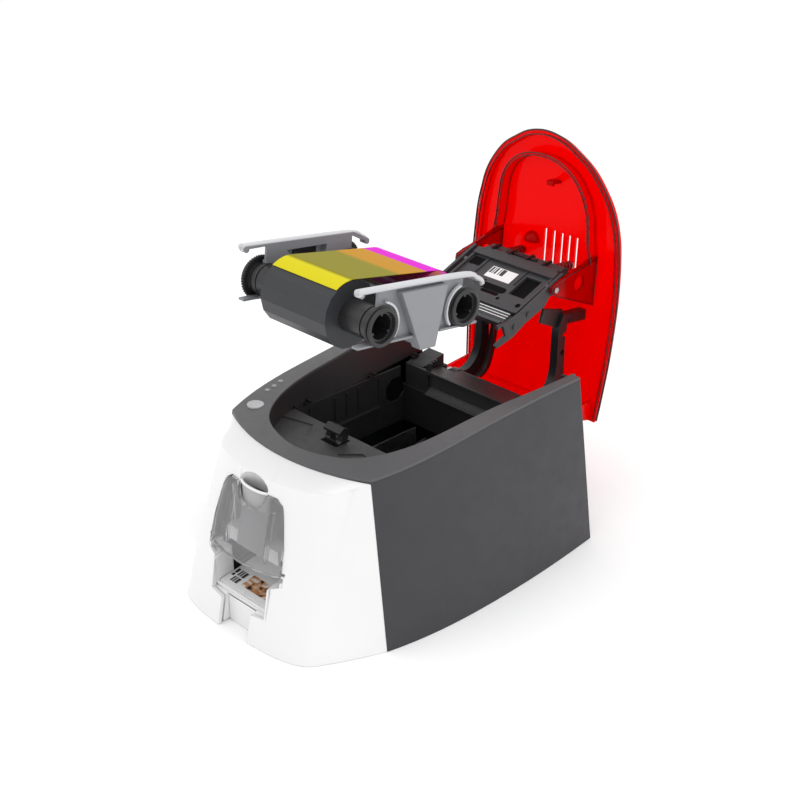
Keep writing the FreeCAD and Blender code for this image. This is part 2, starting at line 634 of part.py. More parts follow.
# Printing engine: two steel side plates carry the rollers, the platen and the bay
PLATE_X = 48.0
PLATEN_Y = 130.2
PLATEN_Z = 44.2
PLATEN_R = 9.0
SHAFT_R = 2.5
CARD_SLOPE = 8.3
EXIT_CARD_Y = -53.7
EXIT_CARD_Z = 26.5
slope = math.tan(math.radians(CARD_SLOPE))


def card_z(y):
    return EXIT_CARD_Z + (y - EXIT_CARD_Y) * slope


ROLLERS = [("exit_roller", -26.0, 5.0, 22.0), ("feed_roller", 62.0, 6.0, 24.0)]
PLATE_FRONT = -34.0
PLATE_BACK = 164.0
PLATE_STEP_Y = 46.0
PLATE_STEP_Z = 54.0
PLATE_OUT = [(PLATE_FRONT, WALL), (PLATE_BACK, WALL), (PLATE_BACK, BAY_BOTTOM - GAP),
             (PLATE_STEP_Y, BAY_BOTTOM - GAP), (PLATE_STEP_Y, PLATE_STEP_Z), (PLATE_FRONT, PLATE_STEP_Z)]
LIGHTEN = [(92.0, 22.0, 11.0), (34.0, 20.0, 9.0), (4.0, 20.0, 7.0), (150.0, 22.0, 8.0)]
FLANGE_WIDE = 8.0
FLANGE_FRONT = -20.0
FLANGE_BACK = 100.0
for name, sign in (("engine_plate_right", 1), ("engine_plate_left", -1)):
    low = min(sign * PLATE_X, sign * (PLATE_X + PLATE))
    plate = prism_x(PLATE_OUT, low, low + PLATE)
    tools = [rod_x(low - OVER, low + PLATE + OVER, y, z, r) for y, z, r in LIGHTEN]
    tools.append(rod_x(low - OVER, low + PLATE + OVER, PLATEN_Y, PLATEN_Z, SHAFT_R + RUN))
    tools.append(rod_x(low - OVER, low + PLATE + OVER, PICK_Y, pick_z, SHAFT_R + RUN))
    for roller_name, y, r, half in ROLLERS:
        tools.append(rod_x(low - OVER, low + PLATE + OVER, y, card_z(y) - CARD_THICK - r, SHAFT_R + RUN))
    foot_low = min(sign * (PLATE_X + PLATE), sign * (PLATE_X + PLATE + FLANGE_WIDE))
    flange = box(foot_low, foot_low + FLANGE_WIDE, FLANGE_FRONT, FLANGE_BACK, WALL, WALL + PLATE)
    save(name, fuse([cut(plate, tools), flange]))

GEAR_THICK = 4.0
TOOTH_STEPS = [(0, 0), (0.25, 0), (0.38, 1), (0.72, 1), (0.85, 0)]
ADDENDUM_SHARE = 0.8


def toothed(x0, y, z, r_pitch, teeth, thick, bore):
    module = 2 * r_pitch / teeth
    pts = []
    for i in range(teeth):
        for share, tip in TOOTH_STEPS:
            radius = r_pitch + module * ADDENDUM_SHARE if tip else r_pitch - module
            angle = 2 * math.pi * (i + share) / teeth
            pts.append((y + radius * math.cos(angle), z + radius * math.sin(angle)))
    wheel = prism_x(pts, x0, x0 + thick)
    return wheel.cut(rod_x(x0 - OVER, x0 + thick + OVER, y, z, bore)) if bore > 0 else wheel


def roller(y, z, r, half, shaft_left, shaft_right):
    core = rod_x(-half, half, y, z, r)
    shaft = rod_x(shaft_left, shaft_right, y, z, SHAFT_R)
    return core.fuse(shaft)


SHAFT_END = PLATE_X + PLATE + OVER
PLATEN_HALF = 29.0
platen = roller(PLATEN_Y, PLATEN_Z, PLATEN_R, PLATEN_HALF, -SHAFT_END, SHAFT_END)
PLATEN_GEAR_R = 10.0
PLATEN_TEETH = 24
MOTOR_GEAR_R = 5.0
MOTOR_TEETH = 12
platen_gear = toothed(SHAFT_END, PLATEN_Y, PLATEN_Z, PLATEN_GEAR_R, PLATEN_TEETH, GEAR_THICK, 0)
save("platen_roller", platen)
save("platen_gear", platen_gear)
for roller_name, y, r, half in ROLLERS:
    z = card_z(y) - CARD_THICK - r
    save(roller_name, roller(y, z, r, half, -SHAFT_END, SHAFT_END))
save("pick_roller", roller(PICK_Y, pick_z, PICK_R, PICK_HALF, -SHAFT_END, SHAFT_END))

# Main motor on the right plate, its pinion meshing with the gear of the platen
MESH_GAP = 1.3
MESH_LEAN = 60.0
mesh = PLATEN_GEAR_R + MOTOR_GEAR_R + MESH_GAP
motor_y = PLATEN_Y - mesh * math.cos(math.radians(MESH_LEAN))
motor_z = PLATEN_Z - mesh * math.sin(math.radians(MESH_LEAN))
MOTOR_R = 12.0
MOTOR_LONG = 26.0
MOTOR_SHAFT_R = 1.6
SHAFT_HOLE = 5.0
motor_x = SHAFT_END + GEAR_THICK + GAP
motor_end = motor_x + MOTOR_LONG
motor = rod_x(motor_x, motor_end, motor_y, motor_z, MOTOR_R)
motor = motor.cut(rod_x(motor_x - OVER, motor_x + SHAFT_HOLE, motor_y, motor_z, MOTOR_SHAFT_R + RUN))
cradle = box(motor_x, motor_end, motor_y - MOTOR_R, motor_y + MOTOR_R, WALL, motor_z)
cradle = cradle.cut(rod_x(motor_x - OVER, motor_end + OVER, motor_y, motor_z, MOTOR_R))
save("drive_motor", motor)
save("motor_cradle", cradle)
pinion = toothed(SHAFT_END, motor_y, motor_z, MOTOR_GEAR_R, MOTOR_TEETH, GEAR_THICK, 0)
pinion = pinion.fuse(rod_x(SHAFT_END, motor_x + HOLD, motor_y, motor_z, MOTOR_SHAFT_R))
save("motor_pinion", pinion)

# Card track between the plates, falling to the front
TRACK_BELOW = 1.6
TRACK_THICK = 1.5
RAIL_TALL = 3.0
TRACK_FRONT = -40.0
TRACK_BACK = 158.0
TRACK_HALF = 30.5
low_front = card_z(TRACK_FRONT) - TRACK_BELOW
low_back = card_z(TRACK_BACK) - TRACK_BELOW
track_pairs = [(TRACK_FRONT, low_front), (TRACK_BACK, low_back), (TRACK_BACK, low_back - TRACK_THICK),
               (TRACK_FRONT, low_front - TRACK_THICK)]
RAIL_GAP_FRONT = 108.0
RAIL_GAP_BACK = 147.0
RAIL_RUNS = [(TRACK_FRONT, RAIL_GAP_FRONT), (RAIL_GAP_BACK, TRACK_BACK)]


def rail_section(start, end):
    low = -TRACK_BELOW - TRACK_THICK
    high = RAIL_TALL - TRACK_BELOW
    return [(start, card_z(start) + high), (end, card_z(end) + high), (end, card_z(end) + low),
            (start, card_z(start) + low)]


track = prism_x(track_pairs, -TRACK_HALF - THIN_WALL, TRACK_HALF + THIN_WALL)
rails = []
for start, end in RAIL_RUNS:
    rails.append(prism_x(rail_section(start, end), TRACK_HALF, TRACK_HALF + THIN_WALL))
    rails.append(prism_x(rail_section(start, end), -TRACK_HALF - THIN_WALL, -TRACK_HALF))
TIE_FRONT = 20.0
TIE_BACK = 26.0
tie_pairs = rail_section(TIE_FRONT, TIE_BACK)
ties = [prism_x(tie_pairs, TRACK_HALF, PLATE_X), prism_x(tie_pairs, -PLATE_X, -TRACK_HALF)]
track = fuse([track] + rails + ties)
track_tools = [box(-PLATEN_HALF - OVER, PLATEN_HALF + OVER, PLATEN_Y - PLATEN_R - OVER,
                   PLATEN_Y + PLATEN_R + OVER, 0, BAY_BOTTOM)]
track_tools.append(rod_x(-PLATE_X, PLATE_X, PLATEN_Y, PLATEN_Z, SHAFT_R + 2 * GAP))
for roller_name, y, r, half in ROLLERS:
    track_tools.append(box(-half - OVER, half + OVER, y - r - OVER, y + r + OVER, 0, BAY_BOTTOM))
save("card_track", cut(track, track_tools))

# Control board upright on the tray beside the left plate, with the rear sockets
BOARD_Z = 16.0
BOARD_THICK = 1.6
BOARD_OUTLINE = (-86.0, -54.0, 60.0, 190.0)
STANDOFF_R = 3.0
STANDOFFS = [(-82.0, 66.0), (-62.0, 66.0), (-82.0, 184.0), (-62.0, 184.0)]
CHIPS = [(-78.0, -64.0, 90.0, 104.0, 2.2), (-76.0, -68.0, 120.0, 138.0, 3.0),
         (-62.0, -56.0, 80.0, 130.0, 7.4)]
CAN_X = -72.0
CAN_Y = 160.0
CAN_R = 5.0
CAN_TALL = 11.4
board_top = BOARD_Z + BOARD_THICK
board_pieces = [box(*BOARD_OUTLINE, BOARD_Z, board_top)]
for x, y in STANDOFFS:
    board_pieces.append(rod_z(x, y, WALL, BOARD_Z, STANDOFF_R))
for x0, x1, y0, y1, tall in CHIPS:
    board_pieces.append(box(x0, x1, y0, y1, board_top, board_top + tall))
board_pieces.append(rod_z(CAN_X, CAN_Y, board_top, board_top + CAN_TALL, CAN_R))
save("control_board", fuse(board_pieces))
JACK_FRONT = 188.0
JACK_BACK = 206.4
JACK_BORE = 196.0
JACK_PIN = 194.0
JACK_PIN_R = 1.0
JACK_WALL = 1.6
JACK_FOOT_HALF = 5.0
JACK_FOOT_FRONT = 184.0
JACK_FOOT_BACK = 198.0
jack = rod_y(DC_X, JACK_FRONT, JACK_BACK, DC_Z, DC_R)
jack = jack.cut(rod_y(DC_X, JACK_BORE, JACK_BACK + OVER, DC_Z, DC_R - JACK_WALL))
jack = jack.fuse(rod_y(DC_X, JACK_PIN, JACK_BACK, DC_Z, JACK_PIN_R))
jack_foot = box(DC_X - JACK_FOOT_HALF, DC_X + JACK_FOOT_HALF, JACK_FOOT_FRONT, JACK_FOOT_BACK, WALL,
                DC_Z - DC_R + OVER)
jack = jack.fuse(jack_foot.cut(rod_y(DC_X, JACK_FRONT, JACK_BACK, DC_Z, DC_R - JACK_WALL)))
save("power_inlet", jack)
USB_FRONT = 188.0
USB_BACK = 206.2
USB_SKIN = 0.8
USB_BORE = 192.0
USB_FOOT_HALF = 5.0
USB_FOOT_FRONT = 186.0
USB_FOOT_BACK = 200.0
USB_TONGUE_HALF = 3.0
USB_TONGUE_BACK = 203.0
USB_TONGUE_LOW = 4.0
USB_TONGUE_HIGH = 7.0
usb = box(USB_X - USB_HALF + RUN, USB_X + USB_HALF - RUN, USB_FRONT, USB_BACK, USB_Z + RUN,
          USB_Z + USB_TALL - RUN)
usb = usb.cut(box(USB_X - USB_HALF + USB_SKIN, USB_X + USB_HALF - USB_SKIN, USB_BORE, USB_BACK + OVER,
                  USB_Z + USB_SKIN, USB_Z + USB_TALL - USB_SKIN))
usb_foot = box(USB_X - USB_FOOT_HALF, USB_X + USB_FOOT_HALF, USB_FOOT_FRONT, USB_FOOT_BACK, WALL,
               USB_Z + RUN)
usb_tongue = box(USB_X - USB_TONGUE_HALF, USB_X + USB_TONGUE_HALF, USB_BORE, USB_TONGUE_BACK,
                 USB_Z + USB_TONGUE_LOW, USB_Z + USB_TONGUE_HIGH)
save("usb_socket", fuse([usb, usb_foot, usb_tongue]))

# Latch in the shelf: a sprung hook lever that catches the lid
LATCH_PIVOT_Z = 106.0
LATCH_PIN_R = 1.6
LATCH_REACH = 20.0
latch_pairs = [(LATCH_Y - 3.0, LATCH_PIVOT_Z - 3.0), (LATCH_Y + 3.0, LATCH_PIVOT_Z - 3.0),
               (LATCH_Y + 3.0, 114.0), (LATCH_Y + 4.4, 119.0), (LATCH_Y + 4.0, 121.6), (LATCH_Y + 1.0, 124.0),
               (LATCH_Y - 2.2, 121.0), (LATCH_Y - 2.2, 119.2), (LATCH_Y + 0.4, 119.2), (LATCH_Y - 1.0, 114.0),
               (LATCH_Y - 3.0, 112.0)]
latch = prism_x(latch_pairs, LATCH_X - LATCH_HALF + OVER, LATCH_X + LATCH_HALF - OVER)
WINDOW_X = 3.0
WINDOW_Y = 8.0
WINDOW_LOW = 113.4
WINDOW_HIGH = 118.2
latch = latch.cut(box(LATCH_X - WINDOW_X, LATCH_X + WINDOW_X, LATCH_Y - WINDOW_Y, LATCH_Y + WINDOW_Y,
                      WINDOW_LOW, WINDOW_HIGH))
latch = latch.cut(rod_x(-LATCH_REACH, LATCH_REACH, LATCH_Y, LATCH_PIVOT_Z, LATCH_PIN_R + RUN))
save("latch_hook", latch)
CRADLE_WALL = 3.0
CRADLE_DEEP = 5.0
CRADLE_FOOT = 4.0
CRADLE_HALF = LATCH_HALF + CRADLE_WALL
CRADLE_LOW = LATCH_PIVOT_Z - CRADLE_DEEP
cradle_front = LATCH_Y - CRADLE_DEEP
cradle_back = LATCH_Y + CRADLE_DEEP
cradle = []
for sign in (1, -1):
    inner_x = LATCH_X + sign * (LATCH_HALF - OVER + GAP)
    outer_x = LATCH_X + sign * CRADLE_HALF
    cradle.append(box(min(inner_x, outer_x), max(inner_x, outer_x), cradle_front, cradle_back, CRADLE_LOW,
                      RECESS_Z - SKIN_DEPTH))
cradle.append(box(LATCH_X - CRADLE_HALF, LATCH_X + CRADLE_HALF, cradle_front, cradle_back,
                  CRADLE_LOW - CRADLE_FOOT, CRADLE_LOW))
latch_pin = rod_x(LATCH_X - CRADLE_HALF, LATCH_X + CRADLE_HALF, LATCH_Y, LATCH_PIVOT_Z, LATCH_PIN_R)
save("latch_cradle", fuse(cradle + [latch_pin]))

# Output side: chute below the door, front tray lip and a finished card resting in it
CHUTE_HALF = EXIT_HALF - GAP
CHUTE_BACK = -40.5
CHUTE_LOW = 21.0
CHUTE_TOP = 49.0
FLANK_LOW = 46.6
FLANK_TOP = 52.6
chute_end = card_z(CHUTE_BACK) - TRACK_BELOW
cheek_half = CHEEK_HALF - GAP
CHUTE_FLOOR = [(-63.0, CHUTE_LOW), (-58.0, 24.4), (CHUTE_BACK, chute_end), (CHUTE_BACK, CHUTE_LOW)]
CHUTE_SIDE = [(-60.4, CHUTE_LOW), (-56.0, 45.0), (CHUTE_BACK, CHUTE_TOP), (CHUTE_BACK, CHUTE_LOW)]
CHUTE_SHELF = [(-56.6, 44.4), (-56.0, 46.0), (CHUTE_BACK, CHUTE_TOP), (CHUTE_BACK, FLANK_LOW)]
CHUTE_FLANK = [(-56.6, 44.4), (-54.6, FLANK_TOP), (CHUTE_BACK, FLANK_TOP), (CHUTE_BACK, FLANK_LOW)]
chute_pieces = [prism_x(CHUTE_FLOOR, -CHUTE_HALF, CHUTE_HALF)]
for section, near, far in ((CHUTE_SIDE, CHUTE_HALF - THIN_WALL, CHUTE_HALF),
                           (CHUTE_SHELF, CHUTE_HALF, cheek_half),
                           (CHUTE_FLANK, cheek_half - THIN_WALL, cheek_half)):
    chute_pieces.append(prism_x(section, near, far))
    chute_pieces.append(prism_x(section, -far, -near))
chute = fuse(chute_pieces).common(fascia_form(0, FORM_RUN)).cut(fascia)
save("exit_chute", largest(chute))
TRAY_FRONT_Y = -56.0
lip_x = TRAY_HALF - GAP
tray_lip = box(-lip_x, lip_x, TRAY_FRONT_Y, CHUTE_BACK, 0, CHUTE_LOW)
tray_lip = tray_lip.cut(box(-lip_x + THIN_WALL, lip_x - THIN_WALL, TRAY_FRONT_Y + WALL,
                            CHUTE_BACK + OVER, -OVER, CHUTE_LOW - WALL))
save("output_tray", tray_lip)

CARD_CORNER = 3.18


def card(front_y, base_z, tilt):
    blank = box(-CARD_HALF, CARD_HALF, 0, CARD_LENGTH, 0, CARD_THICK)
    blank = rounded(blank, CARD_CORNER, along_z)
    blank.rotate(V(0, 0, 0), V(1, 0, 0), tilt)
    blank.translate(V(0, front_y, base_z))
    return blank


save("printed_card", card(EXIT_CARD_Y, EXIT_CARD_Z - CARD_THICK + GAP / 2, CARD_SLOPE))
STACK_COUNT = 14
STACK_SHIFT = 0.25
STACK_FRONT = WELL_BACK - THIN_WALL - CARD_LENGTH - CARD_GAP
stack = []
for i in range(STACK_COUNT):
    stack.append(card(STACK_FRONT + STACK_SHIFT * (i % 2), WELL_FLOOR + GAP + i * CARD_THICK, 0))
save("card_stack", group(stack))

# Lid, modelled closed and turned open about the hinge
LID_EDGE = [(-3.0, 123.0), (9.3, 125.1), (30.4, 129.3), (56.3, 134.9), (88.8, 138.5), (120.0, 141.0),
            (165.0, 142.3), (197.0, 143.2), (214.0, 143.4)]
LID_PLAN = [(0, -0.6), (17.0, 2.4), (30.5, 9.6), (42.3, 17.8), (53.1, 30.4), (60.4, 42.4), (65.5, 56.3),
            (68.8, 70.7), (70.8, 88.8), (71.8, 110.0), (71.8, 134.0), (71.0, 165.0), (68.5, 197.0),
            (67.0, 214.0)]
LID_DEEP = 7.0
LID_WALL = 2.4
LID_END = 214.0
LID_DRAFT = 2.2
SHEET_END = 232.0


def lid_plan_wire(z, out):
    return mouth_wire(LID_PLAN, z, out)


def over_edge(rise):
    pts = [V(-SHEET_HALF, y, z + rise) for y, z in LID_EDGE]
    lead = V(-SHEET_HALF, SHEET_FRONT, LID_EDGE[0][1] - 10.0 + rise)
    tail = V(-SHEET_HALF, SHEET_END, LID_EDGE[-1][1] + rise)
    high_lead = V(-SHEET_HALF, SHEET_FRONT, 2 * BODY_TOP_Z)
    high_tail = V(-SHEET_HALF, SHEET_END, 2 * BODY_TOP_Z)
    wire = Part.Wire([line(lead, pts[0]), spline(pts), line(pts[-1], tail), line(tail, high_tail),
                      line(high_tail, high_lead), line(high_lead, lead)])
    return Part.Face(wire).extrude(V(2 * SHEET_HALF, 0, 0))


LID_LOW = 118.0
LID_HIGH = 154.0
LID_FLARE = 0.8


def lid_form(out):
    wires = [lid_plan_wire(LID_LOW, LID_FLARE + out), lid_plan_wire(LID_HIGH, out - LID_DRAFT)]
    return Part.makeLoft(wires, True, True)


lid_out = lid_form(0).common(over_edge(0)).cut(over_edge(LID_DEEP))
lid_core = lid_form(-LID_WALL)
lid = lid_out.cut(lid_core.cut(over_edge(LID_DEEP - LID_WALL)))
HEM = 0.9
HEM_OUT = 1.5
hem = lid_form(HEM_OUT).cut(lid_core).common(over_edge(0)).cut(over_edge(2 * HEM))
BACK_PLATE = [(LID_END - LID_WALL - OVER, 146.0), (LID_END, 146.0), (207.0, 98.0), (204.4, 98.0)]
BACK_HALF = 62.0
BACK_GUSSET = [(196.0, 142.0), (LID_END - OVER, 146.0), (207.0, 100.0), (204.4, 100.0)]
BACK_GUSSET_HALF = 1.2
lid_back = prism_x(BACK_PLATE, -BACK_HALF, BACK_HALF)
back_gussets = [prism_x(BACK_GUSSET, x - BACK_GUSSET_HALF, x + BACK_GUSSET_HALF) for x in (BACK_HALF, -BACK_HALF)]

# Arch rib inside the lid, closed at the front and flared into two gussets that carry the head
ARCH_THICK = 2.0
ARCH_PLAN = [(0, 15.0), (18.0, 18.0), (32.0, 27.0), (41.0, 41.0), (45.0, 58.0), (46.5, 74.0), (50.0, 88.0),
             (54.0, 96.0)]
ARCH_DROP = 9.5
ARCH_LOW = 110.0
ARCH_TALL = 60.0
ARCH_END = 92.0
ARCH_CLEAR_HALF = 52.0
ARCH_CLEAR_FRONT = 84.0
ARCH_CLEAR_BACK = 120.0
LID_UNDER = 100.0
LID_OVER = 200.0
lid_floor = over_edge(LID_DEEP - LID_WALL)
arch_out = Part.Face(mouth_wire(ARCH_PLAN, ARCH_LOW, 0)).extrude(V(0, 0, ARCH_TALL))
arch_in = Part.Face(mouth_wire(ARCH_PLAN, ARCH_LOW, -ARCH_THICK)).extrude(V(0, 0, ARCH_TALL))
arch = arch_out.cut(arch_in).cut(box(-ARCH_CLEAR_HALF, ARCH_CLEAR_HALF, ARCH_CLEAR_FRONT, ARCH_CLEAR_BACK,
                                     LID_UNDER, LID_OVER))
arch = arch.common(over_edge(LID_DEEP - LID_WALL - ARCH_DROP)).cut(lid_floor)
arch = arch.common(box(-SHEET_HALF, SHEET_HALF, 0, ARCH_END, LID_UNDER, LID_OVER))
SLOT_XS = [-3.7, 4.8, 12.6, 19.8, 27.2]
SLOT_WIDE = 2.8
SLOT_START = 75.5
SLOT_STOP = 105.0
slots = [box(x - SLOT_WIDE / 2, x + SLOT_WIDE / 2, SLOT_START, SLOT_STOP, LID_UNDER, LID_OVER) for x in SLOT_XS]
BOSS_R = 7.5
BOSS_X = -16.0
BOSS_Y = 88.0
BOSS_Z = 138.6
BOSS_SINK = 0.5
floor_z = BOSS_Z + LID_DEEP - LID_WALL
boss = Part.makeSphere(BOSS_R, V(BOSS_X, BOSS_Y, floor_z + OVER))
boss = boss.common(box(BOSS_X - 2 * BOSS_R, BOSS_X + 2 * BOSS_R, BOSS_Y - 2 * BOSS_R, BOSS_Y + OVER, LID_UNDER,
                       floor_z + BOSS_SINK))
boss = boss.common(over_edge(-LID_DEEP))
GUSSET_X = 46.4
GUSSET_THICK = 2.2
HEAD_PIN_Y = 104.2
HEAD_PIN_Z = 96.5
HEAD_PIN_R = 2.2
LIGHT_HOLE_Y = 103.0
LIGHT_HOLE_Z = 124.0
LIGHT_HOLE_R = 6.0
GUSSET = [(82.0, 138.0 + LID_DEEP - LID_WALL), (124.0, 141.4 + LID_DEEP - LID_WALL), (110.0, 100.0),
          (106.5, 92.6), (101.5, 92.6), (98.2, 100.0)]
gussets = []
for sign in (1, -1):
    low = min(sign * GUSSET_X, sign * (GUSSET_X + GUSSET_THICK))
    high = low + GUSSET_THICK
    ear = prism_x(GUSSET, low, high)
    ear = ear.cut(rod_x(low - OVER, high + OVER, HEAD_PIN_Y, HEAD_PIN_Z, HEAD_PIN_R + RUN))
    ear = ear.cut(rod_x(low - OVER, high + OVER, LIGHT_HOLE_Y, LIGHT_HOLE_Z, LIGHT_HOLE_R))
    gussets.append(ear)
CATCH = [(34.0, 136.4), (34.0, 124.6), (37.6, 124.6), (37.6, 126.6), (36.2, 126.6), (36.2, 136.8)]
CATCH_LEFT = 5.0
CATCH_RIGHT = 11.0
catch = prism_x(CATCH, CATCH_LEFT, CATCH_RIGHT)
lid = cut(fuse([lid, hem, lid_back] + back_gussets), slots)
lid_inner = [arch.cut(lid)]
for piece in [catch, boss] + gussets:
    lid_inner.append(piece.cut(lid_floor).cut(lid).cut(arch))
lid_inner = [largest(piece) for piece in lid_inner]


def open_up(shape):
    moved = shape.copy()
    moved.rotate(V(0, HINGE_Y, HINGE_Z), V(1, 0, 0), -LID_ANGLE)
    return moved


save("lid_shell", open_up(lid))
save("lid_arch", open_up(lid_inner[0]))
save("lid_catch", open_up(group(lid_inner[1:3])))
save("lid_gussets", open_up(group(lid_inner[3:])))

# Curved hinge arms, their bosses on two short pins in the rear cover
ARM_THICK = 4.0
ARM_BOSS_R = 5.6


def arm_profile(x0, thick):
    inner_pts = [V(x0, y, z) for y, z in ARM_INNER]
    outer_pts = [V(x0, y, z) for y, z in ARM_OUTER]
    wire = Part.Wire([spline(inner_pts), line(inner_pts[-1], outer_pts[0]), spline(outer_pts),
                      line(outer_pts[-1], inner_pts[0])])
    return Part.Face(wire).extrude(V(thick, 0, 0))


ARM_INNER = [(204.2, 99.0), (203.4, 116.0), (194.0, 125.6), (170.0, 127.6), (129.0, 128.4)]
ARM_OUTER = [(129.0, 118.6), (168.0, 118.2), (186.0, 116.0), (194.4, 109.0), (195.0, 97.0)]
ARM_POST = (129.0, 137.0, 127.0, 146.4)
ARM_WEB = [(200.4, 112.0), (205.6, 103.0), (206.4, 118.0), (203.0, 120.0)]
ARM_HOLES = [(146.0, 123.2), (160.0, 123.2)]
ARM_HOLE_R = 2.2
EAR_THICK = 3.0
HINGE_EAR = [(189.8, 90.0), (196.5, 92.6), (199.0, 92.9), (202.0, 93.4), (204.0, 95.6), (204.1, 98.4),
             (201.5, 101.2), (189.8, 101.9)]
for name, sign in (("hinge_arm_right", 1), ("hinge_arm_left", -1)):
    low = sign * ARM_X - ARM_THICK / 2
    high = low + ARM_THICK
    arm = fuse([arm_profile(low, ARM_THICK), rod_x(low, high, HINGE_Y, HINGE_Z, ARM_BOSS_R)])
    arm = arm.fuse(box(low, high, *ARM_POST)).fuse(prism_x(ARM_WEB, low, high))
    arm = arm.cut(fuse([rod_x(low - OVER, high + OVER, y, z, ARM_HOLE_R) for y, z in ARM_HOLES]))
    arm = arm.cut(rod_x(low - OVER, high + OVER, HINGE_Y, HINGE_Z, HINGE_R + RUN))
    save(name, open_up(arm.cut(lid)))
    ear_low = sign * ARM_X - SLOT_HALF
    ear_high = sign * ARM_X + SLOT_HALF
    ears = [prism_x(HINGE_EAR, start, start + EAR_THICK) for start in (ear_low, ear_high - EAR_THICK)]
    pin = rod_x(ear_low, ear_high, HINGE_Y, HINGE_Z, HINGE_R)
    save("hinge_pin_" + name.split("_")[-1], fuse(ears + [pin]))

# Print head, modelled flat and swung to its place: s runs from the cross bar to the printing edge
HEAD_TILT = 20.05
HEAD_Y = 222.7
HEAD_Z = 194.5
HEAD_HALF = 40.3
HEAD_LONG = 59.0


def sbox(x0, x1, s0, s1, t0, t1):
    return box(x0, x1, -s1, -s0, t0, t1)


def sprism(pairs, x0, x1):
    return prism_x([(-s, t) for s, t in pairs], x0, x1)


def srod(x, s, t0, t1, r):
    return rod_z(x, -s, t0, t1, r)


def head_place(shape):
    moved = shape.copy()
    moved.rotate(V(0, 0, 0), V(1, 0, 0), HEAD_TILT)
    moved.translate(V(0, HEAD_Y, HEAD_Z))
    return moved


theta = math.radians(LID_ANGLE)
pin_dy = HEAD_PIN_Y - HINGE_Y
pin_dz = HEAD_PIN_Z - HINGE_Z
pin_y = HINGE_Y + pin_dy * math.cos(theta) + pin_dz * math.sin(theta) - HEAD_Y
pin_z = HINGE_Z - pin_dy * math.sin(theta) + pin_dz * math.cos(theta) - HEAD_Z
tilt = math.radians(HEAD_TILT)
PIN_S = -(pin_y * math.cos(tilt) + pin_z * math.sin(tilt))
PIN_T = -pin_y * math.sin(tilt) + pin_z * math.cos(tilt)
platen_dy = PLATEN_Y - HINGE_Y
platen_dz = PLATEN_Z - HINGE_Z
platen_oy = HINGE_Y + platen_dy * math.cos(theta) + platen_dz * math.sin(theta) - HEAD_Y
platen_oz = HINGE_Z - platen_dy * math.sin(theta) + platen_dz * math.cos(theta) - HEAD_Z
PLATEN_S = -(platen_oy * math.cos(tilt) + platen_oz * math.sin(tilt))
PLATEN_T = -platen_oy * math.sin(tilt) + platen_oz * math.cos(tilt)

PLATE_T = 1.5
CARRIER_START = -3.0
CARRIER_END = 47.0
BAR_HALF = 3.6
BAR_TOP = 4.2
FRAME_WIDE = 2.4
FRAME_TOP = 3.4
FRAME_END_TOP = 3.0
HEAD_RIB_XS = [-24.0, 14.6]
HEAD_RIB_THICK = 1.2
HEAD_RIB_TOP = 2.6
HEAD_RIB_END = 20.0
CELL_REACH = 5.0
CELL_BOXES = [(-30.0, -8.0, 24.0, 38.0, 0.3), (18.0, 33.0, 8.0, 30.0, -CELL_REACH),
              (-4.0, 10.0, 33.0, 36.6, -CELL_REACH)]
CELL_BORES = [(-4.0, 34.8, 1.8), (10.0, 34.8, 1.8), (-34.0, 12.0, 2.2), (14.0, 38.0, 1.6), (34.0, 38.0, 2.2),
              (-34.0, 40.0, 1.6)]
inner_half = HEAD_HALF - FRAME_WIDE
carrier = sbox(-HEAD_HALF, HEAD_HALF, CARRIER_START, CARRIER_END, -PLATE_T, PLATE_T)
carrier_pieces = [carrier, sbox(-HEAD_HALF, HEAD_HALF, -BAR_HALF, BAR_HALF, -PLATE_T, BAR_TOP),
                  sbox(-HEAD_HALF, -inner_half, 0, CARRIER_END, PLATE_T, FRAME_TOP),
                  sbox(inner_half, HEAD_HALF, 0, CARRIER_END, PLATE_T, FRAME_TOP),
                  sbox(-HEAD_HALF, HEAD_HALF, CARRIER_END - FRAME_WIDE, CARRIER_END, PLATE_T, FRAME_END_TOP)]
for x in HEAD_RIB_XS:
    carrier_pieces.append(sbox(x, x + HEAD_RIB_THICK, BAR_HALF, HEAD_RIB_END, PLATE_T, HEAD_RIB_TOP))
cells = [sbox(x0, x1, s0, s1, low, CELL_REACH) for x0, x1, s0, s1, low in CELL_BOXES]
cells += [srod(x, along, -CELL_REACH, CELL_REACH, r) for x, along, r in CELL_BORES]
SIDE_X = 42.6
SIDE_THICK = 2.4
STUDS = (40.0, 56.0)
STUD_STAND = 1.0
STUD_T = -1.2
STUD_R = 2.0
TABS = [(0, 6.0), (30.0, 44.0)]
prong_out = PLATEN_T + 4.8
prong_in = PLATEN_T - 4.8
side_out = [(-4.0, -7.0), (PIN_S + 4.0, PIN_T - 4.6), (PIN_S + 12.0, -7.4), (44.0, -6.4), (60.0, -8.2),
            (PLATEN_S + 8.0, prong_in - 3.4), (PLATEN_S + 8.6, prong_in - 0.4), (PLATEN_S + 5.0, prong_in),
            (PLATEN_S - 3.4, prong_in), (PLATEN_S - 3.4, prong_out), (PLATEN_S + 2.4, prong_out),
            (PLATEN_S + 1.6, prong_out + 3.2), (58.0, 5.6), (46.0, 4.4), (6.0, 5.2), (-4.0, 5.0)]
side_arms = []
